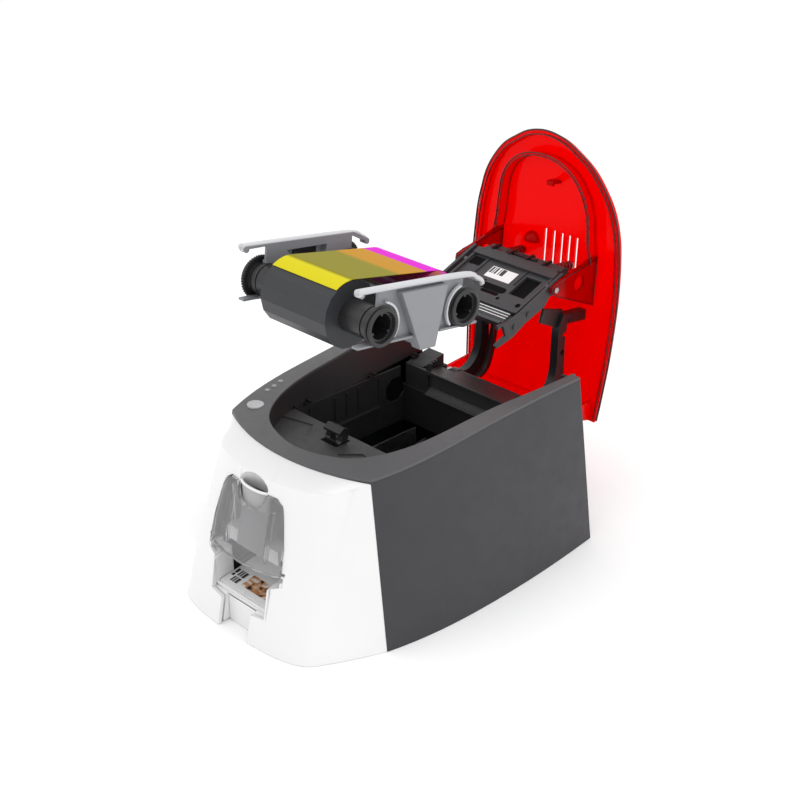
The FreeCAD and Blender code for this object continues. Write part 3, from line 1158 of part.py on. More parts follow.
for sign in (1, -1):
    low = min(sign * SIDE_X, sign * (SIDE_X + SIDE_THICK))
    arm = sprism(side_out, low, low + SIDE_THICK)
    arm = arm.cut(rod_x(low - OVER, low + SIDE_THICK + OVER, -PIN_S, PIN_T, HEAD_PIN_R + RUN))
    side_arms.append(arm)
    stud_low = min(sign * (SIDE_X + SIDE_THICK), sign * (SIDE_X + SIDE_THICK + STUD_STAND))
    for along in STUDS:
        side_arms.append(rod_x(stud_low, stud_low + STUD_STAND, -along, STUD_T, STUD_R))
    tab_low = min(sign * HEAD_HALF, sign * SIDE_X)
    for start, end in TABS:
        side_arms.append(sbox(tab_low, tab_low + SIDE_X - HEAD_HALF, start, end, -PLATE_T, PLATE_T))
carrier = cut(fuse(carrier_pieces), cells)
save("head_carrier", head_place(fuse([carrier] + side_arms)))
stub_out = GUSSET_X + GUSSET_THICK + OVER
stub_in = HEAD_HALF + GAP
stubs = [rod_x(stub_in, stub_out, -PIN_S, PIN_T, HEAD_PIN_R),
         rod_x(-stub_out, -stub_in, -PIN_S, PIN_T, HEAD_PIN_R)]
save("head_pivot", head_place(group(stubs)))

# Thermal head block below the carrier, with fins and the printing edge; three bright strips above
HEAD_GAP_TO_PLATEN = 0.5
BLOCK_HALF = 36.0
BLOCK_START = 30.0
BLOCK_LOW = -5.0
EDGE_HALF = 34.0
EDGE_DEEP = 1.4
FIN_COUNT = 9
FIN_PITCH = 8.0
FIN_X = -33.2
FIN_THICK = 2.0
FIN_START = 31.0
FIN_END = 46.0
FIN_LOW = -11.0
STRIP_COUNT = 3
STRIP_START = 48.2
STRIP_PITCH = 3.4
STRIP_WIDE = 2.0
STRIP_STAND = 0.7
LABEL = (-22.0, 3.0, 6.0, 19.0)
LABEL_THICK = 0.15
edge_s = PLATEN_S - PLATEN_R - HEAD_GAP_TO_PLATEN
edge_back = edge_s - EDGE_DEEP
EDGE_OUTLINE = [(edge_back, -3.4), (edge_s, -0.8), (edge_s, 1.0), (edge_back, PLATE_T)]
block = [sbox(-BLOCK_HALF, BLOCK_HALF, CARRIER_END + RUN, edge_back, -PLATE_T, PLATE_T),
         sbox(-BLOCK_HALF, BLOCK_HALF, BLOCK_START, edge_back, BLOCK_LOW, -PLATE_T),
         sprism(EDGE_OUTLINE, -EDGE_HALF, EDGE_HALF)]
for i in range(FIN_COUNT):
    fin_x = FIN_X + FIN_PITCH * i
    block.append(sbox(fin_x, fin_x + FIN_THICK, FIN_START, FIN_END, FIN_LOW, BLOCK_LOW))
save("thermal_head", head_place(fuse(block)))
strips = []
for i in range(STRIP_COUNT):
    start = STRIP_START + STRIP_PITCH * i
    strips.append(sbox(-BLOCK_HALF, BLOCK_HALF, start, start + STRIP_WIDE, PLATE_T, PLATE_T + STRIP_STAND))
save("head_strips", head_place(group(strips)))
save("head_label", head_place(sbox(*LABEL, PLATE_T, PLATE_T + LABEL_THICK)))


def coil(x, y, z0, z1, r, wire_r, turns):
    pitch = (z1 - z0) / turns
    half = [(r - wire_r, z0)]
    for i in range(turns):
        half += [(r + wire_r, z0 + pitch * (i + 0.25)), (r, z0 + pitch * (i + 0.75))]
    half.append((r - wire_r, z1))
    points = [V(radius, 0, z) for radius, z in half] + [V(r - 2 * wire_r, 0, z1), V(r - 2 * wire_r, 0, z0)]
    face = Part.Face(Part.makePolygon(points + points[:1]))
    spring = face.revolve(V(0, 0, 0), V(0, 0, 1), 360)
    spring.translate(V(x, y, 0))
    return spring


# Two springs press the head down from the lid: they stand on the carrier in its closed place
SPRING_X = 24.0
SPRING_Y = 98.2
SPRING_LOW = 110.9
SPRING_TALL = 32.8
SPRING_R = 3.2
WIRE_R = 0.5
SPRING_TURNS = 9
springs = []
for x in (SPRING_X, -SPRING_X):
    spring = coil(x, 0, 0, SPRING_TALL, SPRING_R, WIRE_R, SPRING_TURNS)
    spring.translate(V(0, SPRING_Y, SPRING_LOW))
    springs.append(open_up(spring))
save("head_springs", group(springs))

# Ribbon cartridge, modelled level with the supply axis at the origin
AXIS_GAP = 78.7
CART_TILT = 6.93
CART_Y = 21.8
CART_Z = 225.1
ROLL_R = 23.6
TAKEUP_R = 17.6
ROLL_HALF = 32.0
FILM_HALF = 31.5
FILM_THICK = 0.3
BRACKET_X = 54.0
BRACKET_THICK = 2.0
CORE_HALF = 60.0
CORE_BORE = 8.8


def cart_place(shape):
    moved = shape.copy()
    moved.rotate(V(0, 0, 0), V(1, 0, 0), -CART_TILT)
    moved.translate(V(0, CART_Y, CART_Z))
    return moved


RING_R = 16.4
SEAT_OPEN = 1.0
CURL_R = 2.3
CUT_R = CORE_R + RUN


def bracket_shape(sign):
    low = min(sign * BRACKET_X, sign * (BRACKET_X + BRACKET_THICK))
    high = low + BRACKET_THICK
    body = prism_x([(-19.3, 26.2), (81.7, 23.2), (95.0, 17.0), (98.0, 12.0), (98.0, -8.0), (94.0, -14.3),
                    (57.0, -13.8), (51.2, -22.5), (37.4, -22.5), (31.7, -13.4), (-19.2, -12.8), (-20.4, 10.0)],
                   low, high)
    rings = []
    for y in (0, AXIS_GAP):
        out_low = low if sign > 0 else low - 1.6
        ring = rod_x(out_low, out_low + BRACKET_THICK + 1.6, y, 0, CUT_R + 2.0)
        rings.append(ring)
    out_low = low if sign > 0 else low - 6.0
    boss_shape = prism_x([(15.0, 20.6), (58.2, 20.0), (51.4, -22.5), (37.2, -22.5)], out_low, out_low + BRACKET_THICK + 6.0)
    boss_in = low - OVER if sign > 0 else low - 6.0 + THIN_WALL
    boss_core = prism_x([(18.0, 18.6), (55.2, 18.0), (49.4, -24.5), (39.2, -24.5)], boss_in,
                        boss_in + 6.0 + OVER - THIN_WALL + BRACKET_THICK)
    flange_low = low if sign > 0 else low - 3.6
    top_lip = prism_x([(-19.3, 26.2), (81.7, 23.2), (95.0, 17.0), (94.2, 15.4), (81.4, 21.4), (-19.3, 24.4)],
                      flange_low, flange_low + BRACKET_THICK + 3.6)
    foot_lip = prism_x([(-19.2, -12.8), (31.7, -13.4), (31.7, -11.8), (-19.2, -11.2)], flange_low,
                       flange_low + BRACKET_THICK + 3.6)
    foot_rear = prism_x([(57.0, -13.8), (94.0, -14.3), (94.0, -12.7), (57.0, -12.2)], flange_low,
                        flange_low + BRACKET_THICK + 3.6)
    whole = fuse([body, top_lip, foot_lip, foot_rear, boss_shape] + rings)
    tools = [boss_core]
    for y in (0, AXIS_GAP):
        tools.append(rod_x(-SHEET_HALF, SHEET_HALF, y, 0, CUT_R))
    tools.append(box(-SHEET_HALF, SHEET_HALF, -30.0, -SEAT_OPEN, -11.2, 24.0))
    tools.append(prism_x([(AXIS_GAP + SEAT_OPEN, -12.2), (110.0, -12.2), (110.0, 8.0), (97.0, 12.8), (94.0, 14.4),
                          (AXIS_GAP + SEAT_OPEN, 20.8)], -SHEET_HALF, SHEET_HALF))
    curls = []
    for y, z in ((-18.6, 23.9), (95.2, 14.6)):
        curls.append(rod_x(flange_low, flange_low + BRACKET_THICK + 3.6, y, z, CURL_R))
    return fuse([cut(whole, tools)] + curls)


save("cartridge_bracket_right", cart_place(bracket_shape(1)))
far = bracket_shape(-1)
far = far.cut(box(-SHEET_HALF, -BRACKET_X + 5.0, 30.0, 48.0, 2.0, 14.0))
save("cartridge_bracket_left", cart_place(far))
TIE_R = 2.0
TIES = [(39.0, -19.0), (42.0, 8.0)]
tie_rods = [rod_x(-BRACKET_X, BRACKET_X, y, z, TIE_R) for y, z in TIES]
save("cartridge_ties", cart_place(group(tie_rods)))


RING_STAND = 2.2
RING_TEETH = 48


def spool(y, ring):
    core = rod_x(-CORE_HALF, CORE_HALF, y, 0, CORE_R)
    grooves = []
    for sign in (1, -1):
        for x in (sign * 57.6, sign * 52.0):
            grooves.append(rod_x(x - 0.6, x + 0.6, y, 0, CORE_R + OVER).cut(
                rod_x(x - 2.0, x + 2.0, y, 0, CORE_R - 0.9)))
    bore = rod_x(-CORE_HALF - OVER, CORE_HALF + OVER, y, 0, CORE_BORE)
    keys = []
    for i in range(3):
        key = box(CORE_HALF - 6.0, CORE_HALF, y - 0.9, y + 0.9, CORE_BORE - 1.6, CORE_BORE + 0.4)
        key.rotate(V(0, y, 0), V(1, 0, 0), 120.0 * i)
        keys.append(key)
    whole = core.cut(bore)
    if ring:
        whole = whole.fuse(toothed(-CORE_HALF - RING_STAND, y, 0, RING_R - OVER, RING_TEETH, RING_STAND,
                                   CORE_BORE))
    whole = fuse([whole] + keys)
    return cut(whole, grooves)


def wound(y, r):
    roll = rod_x(-ROLL_HALF, ROLL_HALF, y, 0, r)
    return roll.cut(rod_x(-ROLL_HALF - OVER, ROLL_HALF + OVER, y, 0, CORE_R))


save("supply_core", cart_place(spool(0, True)))
save("takeup_core", cart_place(spool(AXIS_GAP, True)))
ROLL_FACETS = 16
facet_turn = 360.0 / ROLL_FACETS
ROLL_PHASE = 8.0
roll_pairs = []
for i in range(ROLL_FACETS):
    angle = math.radians(ROLL_PHASE + facet_turn * i)
    roll_pairs.append((ROLL_R * math.cos(angle), ROLL_R * math.sin(angle)))
roll_solid = prism_x(roll_pairs, -ROLL_HALF, ROLL_HALF)
roll_solid = roll_solid.cut(rod_x(-ROLL_HALF - OVER, ROLL_HALF + OVER, 0, 0, CORE_R))
save("supply_roll", cart_place(roll_solid))
save("takeup_roll", cart_place(wound(AXIS_GAP, TAKEUP_R)))

# Film stretched from the top of the supply roll to the top of the take-up roll
FILM_PLAY = 0.15
film_r0 = ROLL_R + FILM_PLAY
film_r1 = TAKEUP_R + FILM_PLAY
lean = math.asin((film_r0 - film_r1) / AXIS_GAP)
START_BACK = 42.0
film_in = []
film_out = []
WRAP_STEPS = 6
for i in range(WRAP_STEPS + 1):
    turn = math.radians(START_BACK) * (1 - i / WRAP_STEPS) - lean
    film_in.append((-film_r0 * math.sin(turn), film_r0 * math.cos(turn)))
    film_out.append((-(film_r0 + FILM_THICK) * math.sin(turn), (film_r0 + FILM_THICK) * math.cos(turn)))
for i in range(WRAP_STEPS + 1):
    turn = lean + math.radians(START_BACK) * i / WRAP_STEPS
    film_in.append((AXIS_GAP + film_r1 * math.sin(turn), film_r1 * math.cos(turn)))
    outer_r = film_r1 + FILM_THICK
    film_out.append((AXIS_GAP + outer_r * math.sin(turn), outer_r * math.cos(turn)))
film = prism_x(film_in + film_out[::-1], -FILM_HALF, FILM_HALF)
save("ribbon_film", cart_place(film))
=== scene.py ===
import math
import bpy
import bmesh
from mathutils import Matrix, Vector


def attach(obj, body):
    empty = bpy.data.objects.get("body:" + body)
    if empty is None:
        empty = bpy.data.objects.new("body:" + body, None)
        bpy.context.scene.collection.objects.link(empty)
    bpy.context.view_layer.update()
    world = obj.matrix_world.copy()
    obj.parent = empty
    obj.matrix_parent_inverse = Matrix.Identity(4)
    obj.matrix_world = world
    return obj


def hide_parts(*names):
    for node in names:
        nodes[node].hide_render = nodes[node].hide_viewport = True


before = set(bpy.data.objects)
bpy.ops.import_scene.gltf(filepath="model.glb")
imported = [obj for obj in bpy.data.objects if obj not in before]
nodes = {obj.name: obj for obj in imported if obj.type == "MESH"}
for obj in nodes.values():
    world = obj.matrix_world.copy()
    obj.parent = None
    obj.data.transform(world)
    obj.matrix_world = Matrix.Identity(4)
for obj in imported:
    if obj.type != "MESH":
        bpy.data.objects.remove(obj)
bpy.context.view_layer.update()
scene = bpy.context.scene
MM = 0.001
SIDES = ((1, "right"), (-1, "left"))

# Height of the rim's top in mm: RIM_Z + RIM_SLOPE * y - y * y / RIM_BEND
RIM_Z = 125.6
RIM_SLOPE = 0.113
RIM_BEND = 5880.0

# Band in which nearly all values of a noise lie, and what the materials have in common
NOISE_LOW = 0.3
NOISE_HIGH = 0.7
SMEAR_SHARE = 3.3
COAT_ROUGH = 0.12
EDGE_SOFT = 0.0002
BAR_SOFT = 0.02


# Helpers for material nodes
def link(tree, a, b):
    tree.links.new(a, b)


def grey(level):
    return (level, level, level)


def scaled(colour, share):
    return tuple(min(1.0, part * share) for part in colour)


def new_material(name):
    mat = bpy.data.materials.new(name)
    mat.use_nodes = True
    tree = mat.node_tree
    bsdf = tree.nodes["Principled BSDF"]
    coords = tree.nodes.new("ShaderNodeTexCoord")
    return mat, tree, bsdf, coords.outputs["Object"]


def axes(tree, coord):
    split = tree.nodes.new("ShaderNodeSeparateXYZ")
    link(tree, coord, split.inputs["Vector"])
    return split.outputs


def maths(tree, kind, *values):
    node = tree.nodes.new("ShaderNodeMath")
    node.operation = kind
    for socket, value in zip(node.inputs, values):
        if isinstance(value, float):
            socket.default_value = value
        else:
            link(tree, value, socket)
    return node.outputs[0]


def noise(tree, coord, scale, detail=3.0, rough=0.55, distortion=0.0):
    node = tree.nodes.new("ShaderNodeTexNoise")
    node.inputs["Scale"].default_value = scale
    node.inputs["Detail"].default_value = detail
    node.inputs["Roughness"].default_value = rough
    node.inputs["Distortion"].default_value = distortion
    link(tree, coord, node.inputs["Vector"])
    return node.outputs["Fac"]


def smear(tree, coord, scale):
    return noise(tree, coord, scale, 5.0, 0.65)


def ramp(tree, fac, stops):
    node = tree.nodes.new("ShaderNodeValToRGB")
    elements = node.color_ramp.elements
    while len(elements) < len(stops):
        elements.new(0.5)
    for element, (place, colour) in zip(elements, stops):
        element.position = place
        element.color = (*colour, 1.0)
    link(tree, fac, node.inputs["Fac"])
    return node.outputs["Color"]


def map_range(tree, value, low, high, to_low, to_high):
    node = tree.nodes.new("ShaderNodeMapRange")
    node.inputs["From Min"].default_value = low
    node.inputs["From Max"].default_value = high
    node.inputs["To Min"].default_value = to_low
    node.inputs["To Max"].default_value = to_high
    link(tree, value, node.inputs["Value"])
    return node.outputs["Result"]


def mottled(tree, fac, low, high):
    return ramp(tree, fac, [(NOISE_LOW, low), (NOISE_HIGH, high)])


def tinted(tree, fac, colour, vary):
    return mottled(tree, fac, scaled(colour, 1 - vary), scaled(colour, 1 + vary))


def varied(tree, fac, low, high):
    return map_range(tree, fac, NOISE_LOW, NOISE_HIGH, low, high)


def bump(tree, height, strength, distance, radius):
    node = tree.nodes.new("ShaderNodeBump")
    node.inputs["Strength"].default_value = strength
    node.inputs["Distance"].default_value = distance
    link(tree, height, node.inputs["Height"])
    if radius > 0:
        rounded = tree.nodes.new("ShaderNodeBevel")
        rounded.samples = 4
        rounded.inputs["Radius"].default_value = radius
        link(tree, rounded.outputs["Normal"], node.inputs["Normal"])
    return node.outputs["Normal"]


def grained(tree, coord, scale, strength, depth, radius):
    return bump(tree, noise(tree, coord, scale, 2.0), strength, depth, radius)


def over(tree, base, fac, top):
    mix = tree.nodes.new("ShaderNodeMix")
    mix.data_type = "RGBA"
    link(tree, fac, mix.inputs["Factor"])
    link(tree, base, mix.inputs["A"])
    link(tree, top, mix.inputs["B"])
    return mix.outputs["Result"]


def patch(tree, split, x0, x1, y0, y1):
    total = None
    for value, low, high in ((split["X"], x0, x1), (split["Y"], y0, y1)):
        for start, before, after in ((low, 0.0, 1.0), (high, 1.0, 0.0)):
            step = map_range(tree, value, start, start + EDGE_SOFT, before, after)
            total = step if total is None else maths(tree, "MULTIPLY", total, step)
    return total


def random_bars(tree, value, count, share, ink, paper):
    draw = tree.nodes.new("ShaderNodeTexWhiteNoise")
    draw.noise_dimensions = "1D"
    link(tree, maths(tree, "FLOOR", maths(tree, "MULTIPLY", value, count)), draw.inputs["W"])
    return ramp(tree, draw.outputs["Value"], [(share, ink), (share + BAR_SOFT, paper)])


# Materials: each with its own variation of colour, and nearly all with varied roughness and a fine grain
def surface(name, colour, rough=0.5, metal=0.0, vary=0.06, patches=60.0, grain=2500.0, grain_depth=0.00002,
            grain_strength=0.3, radius=0.0003, specular=0.5, spread=0.08, coat=0.0):
    mat, tree, bsdf, coord = new_material(name)
    link(tree, tinted(tree, noise(tree, coord, patches, 4.0), colour, vary), bsdf.inputs["Base Color"])
    roughness = varied(tree, smear(tree, coord, patches * SMEAR_SHARE), rough - spread, rough + spread)
    link(tree, roughness, bsdf.inputs["Roughness"])
    link(tree, grained(tree, coord, grain, grain_strength, grain_depth, radius), bsdf.inputs["Normal"])
    bsdf.inputs["Metallic"].default_value = metal
    bsdf.inputs["Specular IOR Level"].default_value = specular
    bsdf.inputs["Coat Weight"].default_value = coat
    bsdf.inputs["Coat Roughness"].default_value = COAT_ROUGH
    return mat


def clear(name, colour, rough, ior, weight, specular=0.5):
    mat, tree, bsdf, coord = new_material(name)
    link(tree, tinted(tree, noise(tree, coord, 25.0, 2.0), colour, 0.03), bsdf.inputs["Base Color"])
    roughness = varied(tree, noise(tree, coord, 90.0, 4.0), rough * 0.7, rough * 1.4)
    link(tree, roughness, bsdf.inputs["Roughness"])
    link(tree, grained(tree, coord, 160.0, 0.06, 0.0002, 0.0004), bsdf.inputs["Normal"])
    bsdf.inputs["IOR"].default_value = ior
    bsdf.inputs["Transmission Weight"].default_value = weight
    bsdf.inputs["Specular IOR Level"].default_value = specular
    return mat


def banded(name, start, end, bands, spots, smooth, rough):
    mat, tree, bsdf, coord = new_material(name)
    along = map_range(tree, axes(tree, coord)["Y"], start, end, 0.0, 1.0)
    link(tree, ramp(tree, along, bands), bsdf.inputs["Base Color"])
    link(tree, varied(tree, noise(tree, coord, spots), smooth, rough), bsdf.inputs["Roughness"])
    return mat, bsdf


def film_material():
    yellow = (0.62, 0.545, 0.022)
    olive = (0.24, 0.215, 0.012)
    orange = (0.50, 0.24, 0.008)
    magenta = (0.66, 0.004, 0.56)
    bands = [(0.0, yellow), (0.17, yellow), (0.20, olive), (0.60, olive), (0.66, orange), (0.88, orange),
             (0.895, magenta), (1.0, magenta)]
    mat, bsdf = banded("dyed_film", 0.004, 0.104, bands, 60.0, 0.10, 0.2)
    bsdf.inputs["IOR"].default_value = 1.08
    bsdf.inputs["Specular IOR Level"].default_value = 0.2
    return mat


# Take-up roll: magenta and orange for its wound layers, darkened to dark purple as painted shade where it
# lies under the film
def takeup_material():
    bands = [(0.0, (0.055, 0.008, 0.07)), (0.35, (0.30, 0.02, 0.10)), (0.6, (0.60, 0.10, 0.03)),
             (0.8, (0.75, 0.02, 0.5)), (1.0, (0.3, 0.01, 0.3))]
    return banded("wound_dyes_and_shade", 0.08, 0.118, bands, 90.0, 0.2, 0.35)[0]


# Printed fields as x from, x to, y from, y to in metres
CARD_BLOCKS = ((-0.0215, -0.0135, -0.0500, -0.0445), (-0.0215, -0.0135, -0.0435, -0.0375))
CARD_CODE = (-0.0255, -0.0230, -0.0470, -0.0375)
CARD_WAVES = (-0.0105, 0.0240, -0.0490, -0.0360)
LABEL_BARS = (-0.0195, 0.0003, 0.2068, 0.2136)


def card_material():
    mat, tree, bsdf, coord = new_material("card_print")
    split = axes(tree, coord)
    ink = (0.03, 0.03, 0.035)
    colour = mottled(tree, noise(tree, coord, 60.0), grey(0.78), grey(0.82))
    bars = random_bars(tree, split["X"], 900.0, 0.55, ink, grey(0.5))
    for block in CARD_BLOCKS:
        colour = over(tree, colour, patch(tree, split, *block), bars)
    lines = random_bars(tree, split["Y"], 1500.0, 0.5, ink, grey(0.80))
    colour = over(tree, colour, patch(tree, split, *CARD_CODE), lines)
    waves = noise(tree, coord, 105.0, 1.0, 0.5, 1.2)
    hues = ramp(tree, waves, [(0.36, (0.015, 0.022, 0.03)), (0.40, (0.35, 0.14, 0.05)),
                              (0.50, (0.52, 0.27, 0.13)), (0.60, (0.62, 0.42, 0.28)),
                              (0.66, (0.75, 0.72, 0.70))])
    colour = over(tree, colour, patch(tree, split, *CARD_WAVES), hues)
    link(tree, colour, bsdf.inputs["Base Color"])
    link(tree, varied(tree, noise(tree, coord, 80.0), 0.2, 0.3), bsdf.inputs["Roughness"])
    return mat


def label_material():
    mat, tree, bsdf, coord = new_material("bar_label")
    split = axes(tree, coord)
    paper = mottled(tree, noise(tree, coord, 90.0), grey(0.78), grey(0.83))
    bars = random_bars(tree, split["X"], 1100.0, 0.52, grey(0.03), grey(0.8))
    link(tree, over(tree, paper, patch(tree, split, *LABEL_BARS), bars), bsdf.inputs["Base Color"])
    bsdf.inputs["Roughness"].default_value = 0.5
    return mat


# The rim is painted grey on its top and dark on its walls, painted light on the top and painted shade on the
# steep walls: the change lies 1 to 2.2 mm under the top
def rim_material():
    mat, tree, bsdf, coord = new_material("rim_lit_top_shaded_walls")
    split = axes(tree, coord)
    y = split["Y"]
    climb = maths(tree, "MULTIPLY", y, RIM_SLOPE)
    bend = maths(tree, "DIVIDE", maths(tree, "MULTIPLY", y, y), RIM_BEND * MM)
    top_z = maths(tree, "ADD", maths(tree, "SUBTRACT", climb, bend), RIM_Z * MM)
    depth = maths(tree, "SUBTRACT", split["Z"], top_z)
    share = map_range(tree, depth, -0.0022, -0.0010, 0.0, 1.0)
    tint = noise(tree, coord, 30.0, 4.0)
    wall = mottled(tree, tint, (0.021, 0.021, 0.022), (0.024, 0.024, 0.025))
    top = mottled(tree, tint, (0.086, 0.086, 0.090), (0.094, 0.094, 0.098))
    link(tree, over(tree, wall, share, top), bsdf.inputs["Base Color"])
    link(tree, varied(tree, smear(tree, coord, 99.0), 0.38, 0.52), bsdf.inputs["Roughness"])
    link(tree, grained(tree, coord, 3200.0, 0.35, 0.00004, 0.0007), bsdf.inputs["Normal"])
    return mat


white = surface("white_front", grey(0.80), 0.32, vary=0.012, patches=18.0, grain=1800.0, grain_strength=0.08,
                radius=0.0008, spread=0.04, coat=0.12)
# Darker copy of the white front: painted shade for the recessed hopper well
white_painted_shade = surface("white_painted_shade", grey(0.62), 0.45, vary=0.02, patches=30.0, radius=0.0006)
dark = surface("dark_case", (0.028, 0.0275, 0.032), 0.46, vary=0.05, patches=22.0, grain=3200.0,
               grain_depth=0.00004, grain_strength=0.35, radius=0.0008)
recess = surface("recess_grey", (0.040, 0.040, 0.042), 0.5, vary=0.05, patches=40.0, grain=3000.0,
                 radius=0.0005)
liner = surface("bay_black", (0.017, 0.017, 0.019), 0.5, vary=0.08, patches=50.0, grain=3000.0, radius=0.0005)
black = surface("satin_black", (0.009, 0.009, 0.010), 0.36, vary=0.04, patches=70.0, grain=2600.0,
                radius=0.0004)
head_black = surface("head_dark", (0.032, 0.032, 0.035), 0.5, patches=90.0, grain=3600.0, grain_strength=0.45)
rubber = surface("rubber", grey(0.022), 0.75, vary=0.1, patches=120.0, grain=4000.0, grain_strength=0.6)
roller_grey = surface("roller_rubber", (0.075, 0.075, 0.078), 0.55, patches=150.0, grain=5000.0,
                      grain_strength=0.5)
steel = surface("zinc_steel", (0.42, 0.43, 0.45), 0.33, metal=1.0, vary=0.08, patches=220.0, grain=900.0,
                grain_strength=0.12, spread=0.1)
chrome = surface("polished_strip", grey(0.80), 0.12, metal=1.0, vary=0.03, patches=100.0, spread=0.05)
aluminium = surface("dark_aluminium", (0.09, 0.09, 0.095), 0.42, metal=0.8, vary=0.08, patches=300.0,
                    grain=2000.0)
acetal = surface("gear_white", (0.62, 0.60, 0.55), 0.4, vary=0.03, patches=200.0)
brass = surface("gear_brass", (0.62, 0.45, 0.18), 0.3, metal=1.0, patches=300.0)
bracket_grey = surface("bracket_grey", (0.235, 0.24, 0.255), 0.42, vary=0.03, patches=40.0, grain=2200.0,
                       radius=0.0007, coat=0.05)
# Lighter copy of the bracket grey: painted highlight on the bracket rails and arcs
rail_painted_highlight = surface("rail_painted_highlight", (0.56, 0.565, 0.58), 0.36, vary=0.03, patches=40.0, grain=2200.0, radius=0.0)
core_black = surface("core_black", (0.016, 0.016, 0.017), 0.36, vary=0.08, patches=80.0, radius=0.0005)
ribbon_dark = surface("ribbon_dark", (0.030, 0.031, 0.035), 0.38, vary=0.05, patches=45.0, grain=700.0,
                      grain_strength=0.05, radius=0.0, specular=0.35, spread=0.03)
button_grey = surface("button_grey", (0.44, 0.44, 0.45), 0.3, vary=0.02, patches=80.0, radius=0.0005,
                      coat=0.1)
card_white = surface("card_white", grey(0.78), 0.25, vary=0.01, radius=0.0002, coat=0.2)
board = surface("board_green", (0.015, 0.10, 0.04), 0.35, vary=0.2, patches=400.0)
frost = surface("frosted_lens", (0.30, 0.30, 0.28), 0.35, vary=0.03, patches=200.0)
# Near-black red for lines painted along the lid's edges as painted shade
edge_red_painted_shade = surface("edge_red_painted_shade", (0.035, 0.001, 0.002), 0.3, vary=0.05, radius=0.0)
coil_red = surface("coil_red", (0.20, 0.012, 0.012), 0.3, metal=0.6, vary=0.1, patches=120.0)
# Near-black painted shade for pockets, the plate slot and the drive opening
void_painted_shade = surface("void_painted_shade", grey(0.003), 0.8, vary=0.1, specular=0.1, radius=0.0)
lip_grey = surface("shaded_white", grey(0.36), 0.4, vary=0.04, patches=40.0, radius=0.0)
# White painted dark grey: painted shade on the panel behind the smoked door
panel_painted_shade = surface("panel_painted_shade", grey(0.26), 0.4, vary=0.05, patches=30.0, radius=0.0)
# White painted dark grey: painted shade on the floor of the finger cup
hole_painted_shade = surface("hole_painted_shade", grey(0.16), 0.5, vary=0.05)
deck_dark = surface("deck_dark", (0.024, 0.024, 0.026), 0.5, vary=0.05, patches=40.0, grain=3000.0,
                    radius=0.0005)
red = clear("red_clear", (1.0, 0.0, 0.0), 0.10, 1.16, 0.66, 0.25)
# Darker copy of the clear red: painted shade on the lid's catch and gussets
red_painted_shade = clear("red_painted_shade", (0.55, 0.0, 0.0), 0.12, 1.16, 0.6, 0.3)
smoke = clear("smoked_clear", (0.84, 0.84, 0.85), 0.08, 1.2, 0.88)
rim = rim_material()
film = film_material()
takeup = takeup_material()
card_print = card_material()
label = label_material()

FINISH = (
    (white, ("front_fascia", "hopper_cup", "exit_chute", "output_tray")),
    (white_painted_shade, ("hopper_well",)),
    (dark, ("left_side_cover", "right_side_cover", "rear_cover", "base_tray")),
    (rim, ("top_rim",)),
    (recess, ("recess_deck", "rear_deck")),
    (liner, ("bay_liner", "card_track")),
    (rubber, ("rubber_feet", "pick_roller")),
    (roller_grey, ("platen_roller", "exit_roller", "feed_roller")),
    (button_grey, ("power_button",)),
    (frost, ("status_lenses",)),
    (smoke, ("hopper_door",)),
    (steel, ("engine_plate_right", "engine_plate_left", "drive_motor", "motor_cradle", "usb_socket",
             "hinge_pin_right", "hinge_pin_left", "head_pivot")),
    (core_black, ("supply_spindle", "takeup_spindle", "power_inlet", "supply_core", "takeup_core")),
    (black, ("latch_hook", "latch_cradle", "hinge_arm_right", "hinge_arm_left")),
    (acetal, ("platen_gear",)),
    (brass, ("motor_pinion",)),
    (board, ("control_board",)),
    (card_print, ("printed_card",)),
    (card_white, ("card_stack",)),
    (red, ("lid_shell", "lid_arch")),
    (red_painted_shade, ("lid_catch", "lid_gussets")),
    (head_black, ("head_carrier",)),
    (aluminium, ("thermal_head",)),
    (chrome, ("head_strips",)),
    (label, ("head_label",)),
    (coil_red, ("head_springs",)),
    (bracket_grey, ("cartridge_bracket_right", "cartridge_bracket_left", "cartridge_ties")),
    (ribbon_dark, ("supply_roll",)),
    (takeup, ("takeup_roll",)),
    (film, ("ribbon_film",)),
)
for material, names in FINISH:
    for name in names:
        nodes[name].data.materials.clear()
        nodes[name].data.materials.append(material)

# Kinds of pieces made here: the body it rides on, its material and its slot
FRONT = ("base", white, "white_front")
LID_LINE = ("lid", edge_red_painted_shade, "red_lid")
ARM = ("lid", black, "arm_black")
HEAD = ("lid", head_black, "head_dark")
HEAD_TRIM = ("lid", black, "head_dark")
HEAD_HOLE = ("lid", void_painted_shade, "head_dark")
RAIL = ("cartridge", rail_painted_highlight, "bracket_grey")


# Faces and outlines
def grid_faces(rows, columns, closed=False, looped=False):
    faces = []
    for i in range(rows if looped else rows - 1):
        near = i * columns
        far = (i + 1) % rows * columns
        for j in range(columns if closed else columns - 1):
            k = (j + 1) % columns
            faces.append((near + j, near + k, far + k, far + j))
    return faces


def capped_faces(rows, columns):
    last = rows * columns - 1
    return grid_faces(rows, columns, True) + [tuple(range(columns)), tuple(range(last, last - columns, -1))]


def prism_faces(count):
    walls = [(i, (i + 1) % count, count + (i + 1) % count, count + i) for i in range(count)]
    return [tuple(range(count)), tuple(range(2 * count - 1, count - 1, -1))] + walls


def circle(count):
    turns = [2 * math.pi * i / count for i in range(count)]
    return [(math.cos(turn), math.sin(turn)) for turn in turns]


def rectangle(a0, a1, b0, b1):
    return [(a0, b0), (a1, b0), (a1, b1), (a0, b1)]


def straight_path(points, steps):
    out = []
    for (a0, b0), (a1, b1) in zip(points, points[1:]):
        out += [(a0 + (a1 - a0) * i / steps, b0 + (b1 - b0) * i / steps) for i in range(steps)]
    return out + [points[-1]]


